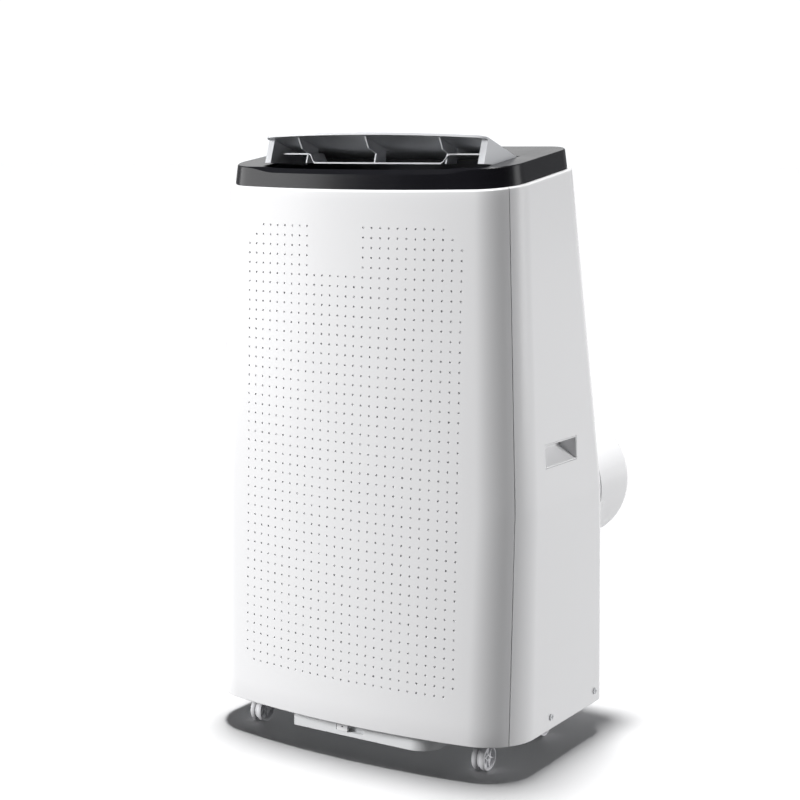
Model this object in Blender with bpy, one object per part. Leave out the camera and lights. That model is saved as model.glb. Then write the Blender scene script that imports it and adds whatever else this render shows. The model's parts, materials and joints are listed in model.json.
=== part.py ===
"""Portable air conditioner: a wheeled cabinet with a flip-up louvre and its cooling circuit.

Metres, +Z up, front towards -Y. The origin is on the floor, under the centre of the whole machine.
"""

import math

import bmesh
import bpy
from mathutils import Matrix, Vector

# Cabinet
WIDTH = 0.433
TOP_WIDTH = 0.401
CABINET_DEPTH = 0.2588
REAR_TAPER = 0.0468
FOOT_Z = 0.0418
WAIST_Z = 0.3092
RIM_Z = 0.6636
RIM_TILT = 0.146
LEAN = 0.0194
BOW = 0.0142
BOW_SPAN = 0.1663
FRONT_RADIUS = 0.0640
TOP_FRONT_RADIUS = 0.0500
REAR_RADIUS = 0.0160
TOP_REAR_RADIUS = 0.0396
WALL = 0.0025
RIM_LEDGE = 0.0065
SEAM_ANGLE = math.radians(54.0)
SEAM_GAP = 0.0008
GAP = 0.0003
WELD = 0.0010
REACH_THROUGH = 0.0200

# Deck
DECK_HEIGHT = 0.0224
DECK_INSET = 0.0052
DECK_DRAFT = 0.0028
DECK_EDGE = 0.0010
DECK_BROW = 0.0060
BROW_HALF = 0.1150
BROW_FADE = 0.0450
DECK_PLATE = 0.0030

# Louvre
LOUVRE_LEFT = -0.137
LOUVRE_RIGHT = 0.161
LOUVRE_FRONT = 0.0335
HINGE_DEPTH = 0.1220
HINGE_DROP = 0.0062
OPEN_ANGLE = math.radians(26.5)
LOUVRE_PANEL = 0.0026
LOUVRE_HEEL = 0.0025
LOUVRE_CORNER = (0.0180, 0.0090)
CHEEK = 0.0080
CHEEK_ANGLE = math.radians(23.5)
CHEEK_FRONT = 0.0695
OUTLET_CLEARANCE = 0.0012
OUTLET_HEEL_ROOM = 0.0072
BLADE = 0.0016
BLADE_INSET = 0.0070
BLADE_FRONT = 0.0580
BLADE_DROP = 0.0147
BLADE_DIP = 0.0108
BLADE_REACH = 0.0280
BLADE_FLAT = 0.0380
BLADE_BEND = 0.0100
VANE = 0.0018
VANE_TIP = 0.0035
VANE_SHOULDER = (0.0110, 0.0130)
VANE_REAR = 0.0400
VANE_PITCH = 0.0955
VANE_COUNT = 3
VANE_SHIFT = -0.0040
PIN_RADIUS = 0.0025
PIN_BITE = 0.0055
PIN_REACH = 0.0045
PIN_CHEEK = 0.0015
STEPPER_RADIUS = 0.0120
STEPPER_OFFSET = 0.0095
STEPPER_LENGTH = 0.0180

# Air outlet duct
DUCT_WALL = 0.0016
DUCT_DEPTH = 0.0336
DUCT_FLOOR_Z = RIM_Z - DUCT_DEPTH
DUCT_SHOULDER = 0.0700
OUTLET_STEPS = 9
OUTLET_BEVEL = (0.0080, 0.0030)
GUARD_SLOTS = 12
GUARD_BAR = 0.0040

# Control panel
PANEL_CENTRE_X = 0.0
PANEL_WIDTH = 0.1840
PANEL_LENGTH = 0.0460
PANEL_REAR_MARGIN = 0.0130
PANEL_PLATE = 0.0036
PANEL_PROUD = 0.0006
DISPLAY_WIDTH = 0.0420
DISPLAY_LENGTH = 0.0200
BUTTON_RADIUS = 0.0062
BUTTON_FLANGE = 0.0013
BUTTON_BRIM = 0.0012
BUTTON_PROUD = 0.0008
BUTTON_PITCH = 0.0220
BUTTON_MARGIN = 0.0170
BOARD_DROP = 0.0075
BOARD_PLATE = 0.0016
BOARD_MARGIN = 0.0040

# Rear: hose connector, intakes, drain, cord inlet
CONNECTOR_X = 0.1330
CONNECTOR_Z = 0.3020
CONNECTOR_RADIUS = 0.0785
CONNECTOR_REACH = 0.0780
CONNECTOR_ROUND = 0.0140
CONNECTOR_LIP = 0.0035
SPIGOT_DEPTH = 0.0270
SPIGOT_RADIUS = 0.0700
PORT_RADIUS = 0.0810
PORT_PROUD = 0.0010
PORT_SIDES = 36
PARTITION_Z = 0.3950
INTAKE_LIFT = 0.0200
INTAKE_TOP_DROP = 0.0436
UPPER_INTAKE = (-0.1500, 0.1500, PARTITION_Z + INTAKE_LIFT, RIM_Z - INTAKE_TOP_DROP)
LOWER_INTAKE = (-0.1720, 0.0400, 0.0950, 0.3000)
INTAKE_FRAME = 0.0090
INTAKE_MULLION = 0.0050
UPPER_SLATS = 17
LOWER_SLATS = 17
FILTER_PLATE = 0.0060
FILTER_CLEARANCE = 0.0006
FILTER_SINK = 0.0004
REAR_DRAIN = (0.0900, 0.0880)
DRAIN_BORE = 0.0070
DRAIN_CAP = 0.0110
DRAIN_PLUG_LENGTH = 0.0120
DRAIN_CAP_HEIGHT = 0.0050
CORD_INLET = (0.1750, 0.1150)
GLAND_RADIUS = 0.0095
GLAND_NECK = 0.0075
GLAND_BORE = 0.0040
GLAND_SHANK = 0.0100
GLAND_COLLAR = 0.0050
GLAND_REACH = 0.0120
GLAND_TIP = 0.0015

# Handles and screws
HANDLE_FRONT = 0.0995
HANDLE_LENGTH = 0.0784
HANDLE_LOW = 0.3520
HANDLE_HEIGHT = 0.0280
HANDLE_DEPTH = 0.0250
HANDLE_WALL = 0.0016
HANDLE_THROAT = 0.0105
SCREW_DEPTHS = (0.1170, 0.2310)
SCREW_HEIGHT = 0.0570
SCREW_HEAD = 0.0038
SCREW_HEAD_HEIGHT = 0.0016
SCREW_SHANK = 0.0018
SCREW_LENGTH = 0.0120
SLOT_WIDTH = 0.0010
SLOT_DEPTH = 0.0008
SLOT_HALF = 0.0028

# Base, sump, castors
PAN_CLEARANCE = 0.0007
PAN_INSET = WALL + PAN_CLEARANCE
PAN_Z = 0.0440
PAN_RIM_Z = 0.0720
SUMP = (-0.0770, 0.1165, 0.0140, 0.1500)
SUMP_Z = 0.0230
SUMP_ROUND = 0.0300
PLUG_X = -0.0060
PLUG_WIDTH = 0.0150
PLUG_HEIGHT = 0.0115
PLUG_PROUD = 0.0015
PLUG_SHANK = 0.0035
PLUG_LENGTH = 0.0140
PLUG_ROOM = 0.0040
PLUG_RISE = 0.0010
EYE_RADIUS = 0.0013
EYE_DEPTH = 0.0035
POCKET_SIDE = 0.0020
POCKET_RIGHT = 0.0220
POCKET_DEPTH = 0.0060
WHEEL_RADIUS = 0.0150
WHEEL_WIDTH = 0.0170
WHEEL_X = 0.1596
FRONT_WHEEL_DEPTH = 0.0600
REAR_WHEEL_DEPTH = 0.1980
CASTOR_TRAIL = 0.0100
AXLE_RADIUS = 0.0018
HUB_RADIUS = 0.0040
WHEEL_SIDES = 24
WHEEL_DISH = 0.0030
TREAD = 0.0028
TREAD_EDGE = 0.0010
NECK_REAR = 0.0090
WEB = 0.0030
PLATE_RADIUS = 0.0140
PLATE_THICKNESS = 0.0030

# Cooling circuit
PARTITION_RIM = 0.0150
PARTITION_INSET = 0.0060
COIL_LIFT = 0.0250
COIL_TOP_GAP = 0.0200
EVAPORATOR = ((-0.1450, 0.1500, PARTITION_Z + COIL_LIFT), (0.1450, 0.1780, DUCT_FLOOR_Z - COIL_TOP_GAP))
CONDENSER = ((-0.1700, 0.2080, 0.0950), (0.0350, 0.2380, 0.3000))
COMPRESSOR = (-0.1200, 0.1150)
COMPRESSOR_RADIUS = 0.0520
COMPRESSOR_Z = (0.0480, 0.2300)
CAN_FOOT = (0.0390, 0.0060)
CAN_SHOULDER = (0.0416, 0.0140)
CAN_CAP = (0.0182, 0.0120)
MOUNT_PLATE = 0.0030
MOUNT_HALF = 0.0494
DRUM_DEPTH = 0.0880
DRUM_Z = (PARTITION_Z + DUCT_FLOOR_Z) / 2
DRUM_RADIUS = 0.0460
DRUM_X = (-0.1250, 0.1200)
DRUM_WALL = 0.0030
FAN_DISC = 0.0040
SHAFT_TIP = 0.0060
SHAFT_ROOT = 0.0040
SCROLL_GAP = 0.0060
SCROLL_WALL = 0.0020
SCROLL_START = math.radians(170.0)
SCROLL_GROWTH = 0.1200
MOTOR_RADIUS = 0.0300
MOTOR_LENGTH = 0.0380
SHAFT_RADIUS = 0.0040
BLOWER = (0.0900, 0.1830)
BLOWER_DEPTHS = (0.0800, 0.1400)
BLOWER_RADIUS = 0.0660
BLOWER_EYE = 0.0462
IMPELLER_GAP = 0.0050
IMPELLER_BLADES = 0.0120
SPLASH = (-0.0250, 0.0930)
SPLASH_DEPTH = 0.1960
SPLASH_RADIUS = 0.0300
SPLASH_DISC = 0.0030
SPLASH_HUB = (0.0080, 0.0060)
SPLASH_SHAFT = 0.0020
SPLASH_GAP = 0.0030
SPLASH_MOTOR = (0.0160, 0.0300)
EXHAUST_MARGIN = 0.0015
EXHAUST_DEPTH = 0.1850
EXHAUST_GAP = 0.0020
ELECTRICS = ((0.0200, 0.0260, 0.2850), (0.1200, 0.0560, 0.3700))
PIPE_RADIUS = 0.0040
PIPE_BEND = 0.0160
PIPE_STANDOFF = 0.0300
PIPE_PORT = 0.0090

FRONT_Y = -(CABINET_DEPTH + CONNECTOR_REACH) / 2
REAR_Y = FRONT_Y + CABINET_DEPTH
RIM_FRONT_Y = FRONT_Y + LEAN


# Helpers: one function per way of making a solid


def clear_scene():
    for obj in list(bpy.data.objects):
        bpy.data.objects.remove(obj, do_unlink=True)


def material(name, colour, roughness, metallic=0.0):
    made = bpy.data.materials.new(name)
    made.use_nodes = True
    shader = made.node_tree.nodes["Principled BSDF"]
    shader.inputs["Base Color"].default_value = (*colour, 1.0)
    shader.inputs["Roughness"].default_value = roughness
    shader.inputs["Metallic"].default_value = metallic
    return made


def at(depth):
    """World Y of a point that lies this far behind the foot of the front."""
    return FRONT_Y + depth


def place(name, bm, finish, origin=(0.0, 0.0, 0.0), smooth=False):
    """Turn a bmesh in world coordinates into an object whose origin is the given point."""
    bmesh.ops.recalc_face_normals(bm, faces=bm.faces)
    bmesh.ops.translate(bm, verts=bm.verts, vec=-Vector(origin))
    mesh = bpy.data.meshes.new(name)
    bm.to_mesh(mesh)
    bm.free()
    if smooth:
        mesh.shade_smooth()
        mesh.set_sharp_from_angle(angle=math.radians(35.0))
    obj = bpy.data.objects.new(name, mesh)
    obj.location = origin
    bpy.context.scene.collection.objects.link(obj)
    if finish:
        mesh.materials.append(finish)
    return obj


def helper(name, bm):
    """A cutter or an added body: it shapes another piece and is no piece itself."""
    obj = place(name, bm, None)
    obj.hide_render = True
    obj.display_type = "WIRE"
    return obj


def boolean(target, name, bm, operation):
    modifier = target.modifiers.new(name, "BOOLEAN")
    modifier.operation = operation
    modifier.solver = "EXACT"
    modifier.object = helper(f"{target.name}_{name}", bm)


def cut(target, name, bm):
    boolean(target, name, bm, "DIFFERENCE")


def add(target, name, bm):
    boolean(target, name, bm, "UNION")


def loft(rows, around=False, wrap=False):
    """Join rows of points. around closes each row, wrap joins the last row to the first."""
    bm = bmesh.new()
    grid = [[bm.verts.new(point) for point in row] for row in rows]
    columns = len(rows[0])
    for i in range(len(rows) if wrap else len(rows) - 1):
        low, high = grid[i], grid[(i + 1) % len(rows)]
        for j in range(columns if around else columns - 1):
            k = (j + 1) % columns
            bm.faces.new((low[j], low[k], high[k], high[j]))
    if around and not wrap:
        bm.faces.new(grid[0][::-1])
        bm.faces.new(grid[-1])
    if wrap and not around:
        bm.faces.new([row[0] for row in grid])
        bm.faces.new([row[-1] for row in grid][::-1])
    return bm


def box(low, high):
    (x0, y0, z0), (x1, y1, z1) = low, high
    corners = ((x0, y0), (x1, y0), (x1, y1), (x0, y1))
    return loft([[(x, y, z) for x, y in corners] for z in (z0, z1)], around=True)


def prism(outline, shift):
    """Extrude a closed outline of 3-D points along one vector."""
    return loft([outline, [Vector(point) + Vector(shift) for point in outline]], around=True)


def turned(profile, centre, axis, segments=24, phase=0.0):
    """Turn a closed profile of (radius, along) round an axis. A radius of 0 isn't used: bores stay open."""
    along = Vector(axis)
    across = Vector((0.0, 0.0, 1.0)) if abs(along.z) < 0.5 else Vector((1.0, 0.0, 0.0))
    other = along.cross(across)
    rows = []
    for i in range(segments):
        turn = 2 * math.pi * (i + phase) / segments
        spoke = across * math.cos(turn) + other * math.sin(turn)
        rows.append([Vector(centre) + spoke * r + along * h for r, h in profile])
    return loft(rows, around=True, wrap=True)


def rod(radius, start, length, axis, segments=16, phase=0.5):
    """A solid round bar from a start point."""
    along = Vector(axis)
    across = Vector((0.0, 0.0, 1.0)) if abs(along.z) < 0.5 else Vector((1.0, 0.0, 0.0))
    other = along.cross(across)
    ring = []
    for i in range(segments):
        turn = 2 * math.pi * (i + phase) / segments
        ring.append(Vector(start) + (across * math.cos(turn) + other * math.sin(turn)) * radius)
    return prism(ring, along * length)


def stepped_rod(steps, start, axis, segments=20):
    """A solid of stacked round steps, each (radius, length), along an axis."""
    along = Vector(axis)
    across = Vector((0.0, 0.0, 1.0)) if abs(along.z) < 0.5 else Vector((1.0, 0.0, 0.0))
    other = along.cross(across)
    rows = []
    reach = 0.0
    for radius, length in steps:
        for h in (reach, reach + length):
            row = []
            for i in range(segments):
                turn = 2 * math.pi * (i + 0.5) / segments
                spoke = across * math.cos(turn) + other * math.sin(turn)
                row.append(Vector(start) + spoke * radius + along * h)
            rows.append(row)
        reach += length
    return loft(rows, around=True)


def pierced_plate(xs, zs, is_hole, thickness, matrix):
    """A flat plate on lines xs and zs whose cells marked by is_hole are open. It lies in local XZ."""
    bm = bmesh.new()
    front = {(i, j): bm.verts.new((x, 0.0, z)) for i, x in enumerate(xs) for j, z in enumerate(zs)}
    back = {(i, j): bm.verts.new((x, thickness, z)) for i, x in enumerate(xs) for j, z in enumerate(zs)}
    solid = {
        (i, j)
        for i in range(len(xs) - 1)
        for j in range(len(zs) - 1)
        if not is_hole(i, j)
    }
    for i, j in solid:
        corners = ((i, j), (i + 1, j), (i + 1, j + 1), (i, j + 1))
        bm.faces.new([front[c] for c in corners])
        bm.faces.new([back[c] for c in reversed(corners)])
        sides = (((i, j - 1), 0, 1), ((i + 1, j), 1, 2), ((i, j + 1), 2, 3), ((i - 1, j), 3, 0))
        for neighbour, a, b in sides:
            if neighbour not in solid:
                p, q = corners[a], corners[b]
                bm.faces.new((front[q], front[p], back[p], back[q]))
    loose = [vert for vert in bm.verts if not vert.link_faces]
    bmesh.ops.delete(bm, geom=loose, context="VERTS")
    bmesh.ops.transform(bm, matrix=matrix, verts=bm.verts)
    return bm


def spread(start, end, count):
    return [start + (end - start) * i / (count - 1) for i in range(count)]


# The casing's outline, which every cover, pan and deck follows


def bow(x):
    """How far the front curves back at this distance from the middle."""
    return BOW * (x / BOW_SPAN) ** 2


def casing_size(z, inset):
    up = min((z - FOOT_Z) / (RIM_Z - FOOT_Z), 1.0)
    taper = min(max((z - WAIST_Z) / (RIM_Z - WAIST_Z), 0.0), 1.0)
    half = (WIDTH + (TOP_WIDTH - WIDTH) * taper) / 2 - inset
    front = FRONT_Y + LEAN * up + inset
    rear = REAR_Y - REAR_TAPER * taper - inset
    front_radius = FRONT_RADIUS + (TOP_FRONT_RADIUS - FRONT_RADIUS) * up - inset
    rear_radius = REAR_RADIUS + (TOP_REAR_RADIUS - REAR_RADIUS) * up - inset
    return half, front, rear, front_radius, rear_radius


def rim_height(y):
    """Height of the casing's tilted top edge at this Y."""
    return RIM_Z + RIM_TILT * (y - RIM_FRONT_Y)


def deck_height(y):
    return rim_height(y) + DECK_HEIGHT


def corner_start(middle, radius):
    """The angle and the X at which the round corner leaves the bowed front without a kink."""
    x = middle
    for _ in range(4):
        angle = math.atan(2 * BOW * x / BOW_SPAN**2)
        x = middle + radius * math.sin(angle)
    return angle, x


def outline_point(stop, size):
    kind, side, t = stop
    half, front, rear, front_radius, rear_radius = size
    start, x_end = corner_start(half - front_radius, front_radius)
    if kind == "front":
        return t * x_end, front + bow(t * x_end)
    if kind == "front_corner":
        turn = start + (t - CORNER_START) * (QUARTER - start) / (QUARTER - CORNER_START)
        x = half - front_radius + front_radius * math.sin(turn)
        return side * x, front + bow(x_end) + front_radius * (math.cos(start) - math.cos(turn))
    x = half - rear_radius + rear_radius * math.cos(t)
    return side * x, rear - rear_radius + rear_radius * math.sin(t)


def ring(stops, level, inset):
    """Points of the casing's outline. A level is a height, or ("rim", h) above the tilted top edge."""
    return [ring_point(stop, level, inset) for stop in stops]


def ring_point(stop, level, inset):
    tilted = isinstance(level, tuple)
    x, y = outline_point(stop, casing_size(RIM_Z if tilted else level, inset))
    return x, y, rim_height(y) + level[1] if tilted else level


FRONT_STEPS = 15
CORNER_STEPS = 6
QUARTER = math.pi / 2
CORNER_START = math.radians(10.0)


def front_stops(angle):
    corner = spread(CORNER_START, angle, CORNER_STEPS)[1:]
    left = [("front_corner", -1, t) for t in reversed(corner)]
    middle = [("front", 0, t) for t in spread(-1.0, 1.0, FRONT_STEPS)]
    return left + middle + [("front_corner", 1, t) for t in corner]


def rear_stops(angle):
    flank = spread(angle, QUARTER, 4)
    corner = spread(0.0, QUARTER, CORNER_STEPS)
    right = [("front_corner", 1, t) for t in flank] + [("rear_corner", 1, t) for t in corner]
    left = [("rear_corner", -1, t) for t in reversed(corner)]
    return right + left + [("front_corner", -1, t) for t in reversed(flank)]


def whole_ring():
    return front_stops(QUARTER) + rear_stops(QUARTER)[1:-1]


def casing_shell(stops):
    """A wall of the casing with the ledge along its top edge that carries the deck."""
    rows = [
        ring(stops, FOOT_Z, 0.0),
        ring(stops, WAIST_Z, 0.0),
        ring(stops, ("rim", 0.0), 0.0),
        ring(stops, ("rim", 0.0), RIM_LEDGE),
        ring(stops, ("rim", -WALL), RIM_LEDGE),
        ring(stops, ("rim", -WALL), WALL),
        ring(stops, WAIST_Z, WALL),
        ring(stops, FOOT_Z, WALL),
    ]
    return loft(rows, wrap=True)


def half_width(z):
    return casing_size(z, 0.0)[0]


def side_lean():
    """Slope of the casing's sides above the waist, inward per metre of height."""
    return (WIDTH - TOP_WIDTH) / 2 / (RIM_Z - WAIST_Z)


def rear_frame(z):
    """Matrix of the rear face at height z: local X along the width, local Z up the wall, local Y outward."""
    rear = casing_size(z, 0.0)[2]
    angle = math.atan2(REAR_TAPER, RIM_Z - WAIST_Z) if z > WAIST_Z else 0.0
    return Matrix.Translation((0.0, rear, z)) @ Matrix.Rotation(angle, 4, "X")


def hinge_point():
    y = at(HINGE_DEPTH)
    return y, deck_height(y) - HINGE_DROP


# Covers


def front_panel(finish):
    gap_angle = math.asin(SEAM_GAP / 2 / TOP_FRONT_RADIUS)
    place("front_panel", casing_shell(front_stops(SEAM_ANGLE - gap_angle)), finish, smooth=True)


def intake_size(intake):
    """Width, and length along the wall, of a rear intake between two heights."""
    left, right, low, high = intake
    slope = REAR_TAPER / (RIM_Z - WAIST_Z) if low > WAIST_Z else 0.0
    return right - left, (high - low) * math.hypot(1.0, slope)


def intake_cutter(intake, grow):
    width, length = intake_size(intake)
    matrix = rear_frame(intake[2]) @ Matrix.Translation(((intake[0] + intake[1]) / 2, 0.0, 0.0))
    depth = WALL + FILTER_PLATE + 0.03
    bm = box((-width / 2 - grow, -depth / 2, -grow), (width / 2 + grow, depth / 2, length + grow))
    bmesh.ops.transform(bm, matrix=matrix, verts=bm.verts)
    return bm


def side_hole(side, depth, z, radius):
    start = (side * (half_width(z) - REACH_THROUGH), at(depth), z)
    return rod(radius, start, 2 * REACH_THROUGH, (side, 0.0, 0.0), segments=12)


def handle_outline(grow):
    """Corners (Y, Z) of the handle's opening, with its front end lower than its rear."""
    front, rear = at(HANDLE_FRONT) - grow, at(HANDLE_FRONT + HANDLE_LENGTH) + grow
    low, high = HANDLE_LOW - grow, HANDLE_LOW + HANDLE_HEIGHT + grow
    return (front, low), (rear, low), (rear, high), (front, high)


def handle_hole(side):
    x = side * (half_width(HANDLE_LOW) - 2 * HANDLE_DEPTH)
    return prism([(x, y, z) for y, z in handle_outline(GAP)], (side * 3 * HANDLE_DEPTH, 0.0, 0.0))


def rear_cabinet(finish):
    gap_angle = math.asin(SEAM_GAP / 2 / TOP_FRONT_RADIUS)
    cabinet = place("rear_cabinet", casing_shell(rear_stops(SEAM_ANGLE + gap_angle)), finish, smooth=True)
    inner = casing_size(CONNECTOR_Z + PORT_RADIUS, WALL)[2]
    start = (CONNECTOR_X, inner + WALL / 2, CONNECTOR_Z)
    reach = REAR_Y + PORT_PROUD - start[1]
    port = rod(PORT_RADIUS, start, reach, (0.0, 1.0, 0.0), PORT_SIDES, phase=0.0)
    add(cabinet, "port", port)
    start = (CONNECTOR_X, REAR_Y - 2 * REACH_THROUGH, CONNECTOR_Z)
    bore = rod(SPIGOT_RADIUS + GAP, start, 4 * REACH_THROUGH, (0.0, 1.0, 0.0), PORT_SIDES, phase=0.0)
    cut(cabinet, "port_bore", bore)
    for name, intake in (("upper_intake", UPPER_INTAKE), ("lower_intake", LOWER_INTAKE)):
        cut(cabinet, name, intake_cutter(intake, 0.0))
    for side, word in ((-1, "left"), (1, "right")):
        cut(cabinet, f"handle_{word}", handle_hole(side))
        for i, depth in enumerate(SCREW_DEPTHS):
            cut(cabinet, f"screw_{word}_{i}", side_hole(side, depth, SCREW_HEIGHT, SCREW_SHANK + GAP))
    for name, (x, z), radius in (("drain", REAR_DRAIN, DRAIN_BORE), ("cord", CORD_INLET, GLAND_NECK)):
        start = (x, REAR_Y - REACH_THROUGH, z)
        cut(cabinet, name, rod(radius + GAP, start, 2 * REACH_THROUGH, (0.0, 1.0, 0.0), 16))


def outlet_outline(grow, y_rear):
    """The outlet in the deck: a bowed front edge with bevelled ends, then straight sides and rear."""
    left, right = LOUVRE_LEFT - grow, LOUVRE_RIGHT + grow
    front = at(LOUVRE_FRONT) - grow
    shoulder = at(DUCT_SHOULDER)
    across, back = OUTLET_BEVEL
    edge = [(x, front + bow(x)) for x in spread(left + across, right - across, OUTLET_STEPS - 2)]
    edge = [(left, front + bow(left) + back), *edge, (right, front + bow(right) + back)]
    return edge + [(right, shoulder), (right, y_rear), (left, y_rear), (left, shoulder)]


def outlet_rear():
    return at(HINGE_DEPTH) + OUTLET_HEEL_ROOM


def panel_centre_y():
    rear = casing_size(RIM_Z, DECK_INSET)[2]
    return rear - PANEL_REAR_MARGIN - PANEL_LENGTH / 2


def deck_frame(y):
    """Matrix on the deck's top face: local X along the width, local Y up the slope, local Z outward."""
    tilt = math.atan(RIM_TILT)
    return Matrix.Translation((PANEL_CENTRE_X, y, deck_height(y))) @ Matrix.Rotation(tilt, 4, "X")


def on_deck(bm, y):
    bmesh.ops.transform(bm, matrix=deck_frame(y), verts=bm.verts)
    return bm


def brow(stop):
    """How far the deck's edge is bevelled here: deep in front of the outlet, a crisp edge elsewhere."""
    if stop[0] != "front":
        return DECK_EDGE
    x = abs(outline_point(stop, casing_size(RIM_Z, DECK_INSET))[0])
    fade = min(max((x - BROW_HALF) / BROW_FADE, 0.0), 1.0)
    return DECK_BROW + (DECK_EDGE - DECK_BROW) * fade * fade * (3 - 2 * fade)


def top_deck(finish):
    stops = whole_ring()
    inner = DECK_INSET + WALL
    side = DECK_INSET + DECK_DRAFT
    under = DECK_HEIGHT - DECK_BROW - DECK_PLATE
    rows = [
        ring(stops, ("rim", DECK_HEIGHT - DECK_PLATE), side + DECK_BROW + DECK_PLATE),
        ring(stops, ("rim", under), inner + DECK_DRAFT),
        ring(stops, ("rim", GAP), inner),
        ring(stops, ("rim", GAP), DECK_INSET),
        [ring_point(stop, ("rim", DECK_HEIGHT - brow(stop)), side) for stop in stops],
        [ring_point(stop, ("rim", DECK_HEIGHT), side + brow(stop)) for stop in stops],
    ]
    deck = place("top_deck", loft(rows, around=True), finish, smooth=True)
    outline = [(x, y, RIM_Z) for x, y in outlet_outline(OUTLET_CLEARANCE, outlet_rear())]
    cut(deck, "outlet", prism(outline, (0.0, 0.0, 0.1)))
    half, length = PANEL_WIDTH / 2 + GAP, PANEL_LENGTH / 2 + GAP
    hole = box((-half, -length, -REACH_THROUGH), (half, length, REACH_THROUGH))
    cut(deck, "panel", on_deck(hole, panel_centre_y()))


# Louvre: built flat in its own frame, then swung open about the hinge


def louvre_matrix():
    """Local u runs from the hinge towards the front, local w is up out of the panel."""
    y, z = hinge_point()
    tilt = math.atan(RIM_TILT) - OPEN_ANGLE
    return Matrix.Translation((0.0, y, z)) @ Matrix.Rotation(tilt, 4, "X")


def in_louvre(bm):
    bmesh.ops.transform(bm, matrix=louvre_matrix(), verts=bm.verts)
    return bm


def louvre_reach(x):
    """Length of the flap from its hinge to its bowed front edge, which clears the deck when shut."""
    return (HINGE_DEPTH - LOUVRE_FRONT - bow(x)) * math.hypot(1.0, RIM_TILT) - HINGE_DROP * RIM_TILT


def louvre_front_line(height):
    """The bowed front edge with its rounded ends, in the louvre's own frame."""
    wide, deep = LOUVRE_CORNER
    points = []
    for side, end, turns in ((-1, LOUVRE_LEFT, (QUARTER, 0.0)), (1, LOUVRE_RIGHT, (0.0, QUARTER))):
        inner = end - side * wide
        corner = [
            (inner + side * wide * math.sin(t), deep * (1 - math.cos(t)) - louvre_reach(inner), height)
            for t in spread(*turns, 5)
        ]
        if side == 1:
            middle = spread(points[-1][0], inner, 9)[1:-1]
            points += [(x, -louvre_reach(x), height) for x in middle]
        points += corner
    return points


def cheek(x):
    """The wedge-shaped end wall of the louvre, from x to x + CHEEK."""
    top = HINGE_DROP - LOUVRE_PANEL / 2
    under = PIN_RADIUS + PIN_CHEEK
    outline = [
        (x, LOUVRE_HEEL, top),
        (x, LOUVRE_HEEL, -under),
        (x, -under, -under - PIN_CHEEK),
        (x, -CHEEK_FRONT, HINGE_DROP - CHEEK_FRONT * math.tan(CHEEK_ANGLE)),
        (x, -CHEEK_FRONT, top),
    ]
    return prism(outline, (CHEEK, 0.0, 0.0))


def louvre_flap(finish):
    y, z = hinge_point()
    low, high = HINGE_DROP - LOUVRE_PANEL, HINGE_DROP
    heel = [(LOUVRE_RIGHT, LOUVRE_HEEL, low), (LOUVRE_LEFT, LOUVRE_HEEL, low)]
    outline = louvre_front_line(low) + heel
    flap = place("louvre_flap", in_louvre(prism(outline, (0.0, 0.0, high - low))), finish, (0.0, y, z))
    for word, x in (("left", LOUVRE_LEFT), ("right", LOUVRE_RIGHT - CHEEK)):
        add(flap, f"cheek_{word}", in_louvre(cheek(x)))
    for word, x, side in (("left", LOUVRE_LEFT, 1), ("right", LOUVRE_RIGHT, -1)):
        start = Vector((x - side * REACH_THROUGH, y, z))
        bore = rod(PIN_RADIUS + GAP, start, PIN_BITE + REACH_THROUGH, (side, 0.0, 0.0), 12)
        cut(flap, f"bore_{word}", bore)


def blade_line():
    """The lower blade's section across the width: high at the ends, with a shallow trough between."""
    left, right = LOUVRE_LEFT + CHEEK + BLADE_INSET, LOUVRE_RIGHT - CHEEK - BLADE_INSET
    high = HINGE_DROP - BLADE_DROP
    top = [(left, high)]
    for side, start in ((1, left + BLADE_FLAT), (-1, right - BLADE_FLAT)):
        bend = []
        for t in spread(0.0, 1.0, 5):
            bend.append((start + side * BLADE_BEND * t, high - BLADE_DIP * (1 - math.cos(math.pi * t)) / 2))
        top += bend if side == 1 else bend[::-1]
    top.append((right, high))
    return top + [(x, w - BLADE) for x, w in reversed(top)]


def louvre_vanes(finish):
    """The lower blade and its three vanes, one moulding. The blade is level when open."""
    y, z = hinge_point()
    slope = OPEN_ANGLE - math.atan(RIM_TILT)
    back = BLADE_FRONT - BLADE_REACH * math.cos(slope)
    rise = BLADE_REACH * math.sin(slope)
    line = blade_line()
    front = [(x, -BLADE_FRONT, w) for x, w in line]
    rear = [(x, -back, w + rise) for x, w in line]
    vanes = place("louvre_vanes", in_louvre(loft([front, rear], around=True)), finish, (0.0, y, z))
    middle = (LOUVRE_LEFT + LOUVRE_RIGHT) / 2 + VANE_SHIFT
    top = HINGE_DROP - LOUVRE_PANEL - GAP
    foot = HINGE_DROP - BLADE_DROP - BLADE_DIP - BLADE / 2
    run, drop = VANE_SHOULDER
    for i in range(VANE_COUNT):
        x = middle + (i - (VANE_COUNT - 1) / 2) * VANE_PITCH
        start = -louvre_reach(x) + VANE_TIP
        outline = [
            (x, start, top),
            (x, -VANE_REAR, top),
            (x, -VANE_REAR + 0.0050, foot + rise * 0.8),
            (x, -BLADE_FRONT + 0.0010, foot),
            (x, -BLADE_FRONT + 0.0010, HINGE_DROP - BLADE_DROP),
            (x, start + run, top - drop + 0.0025),
        ]
        add(vanes, f"vane_{i}", in_louvre(prism(outline, (VANE, 0.0, 0.0))))


def louvre_pins(finish):
    y, z = hinge_point()
    for word, x, side in (("left", LOUVRE_LEFT, -1), ("right", LOUVRE_RIGHT, 1)):
        start = (x - side * (PIN_BITE - GAP), y, z)
        length = PIN_BITE - GAP + PIN_REACH
        pin = rod(PIN_RADIUS, start, length, (side, 0.0, 0.0), 12)
        place(f"louvre_pin_{word}", pin, finish, (0.0, y, z), smooth=True)


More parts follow.
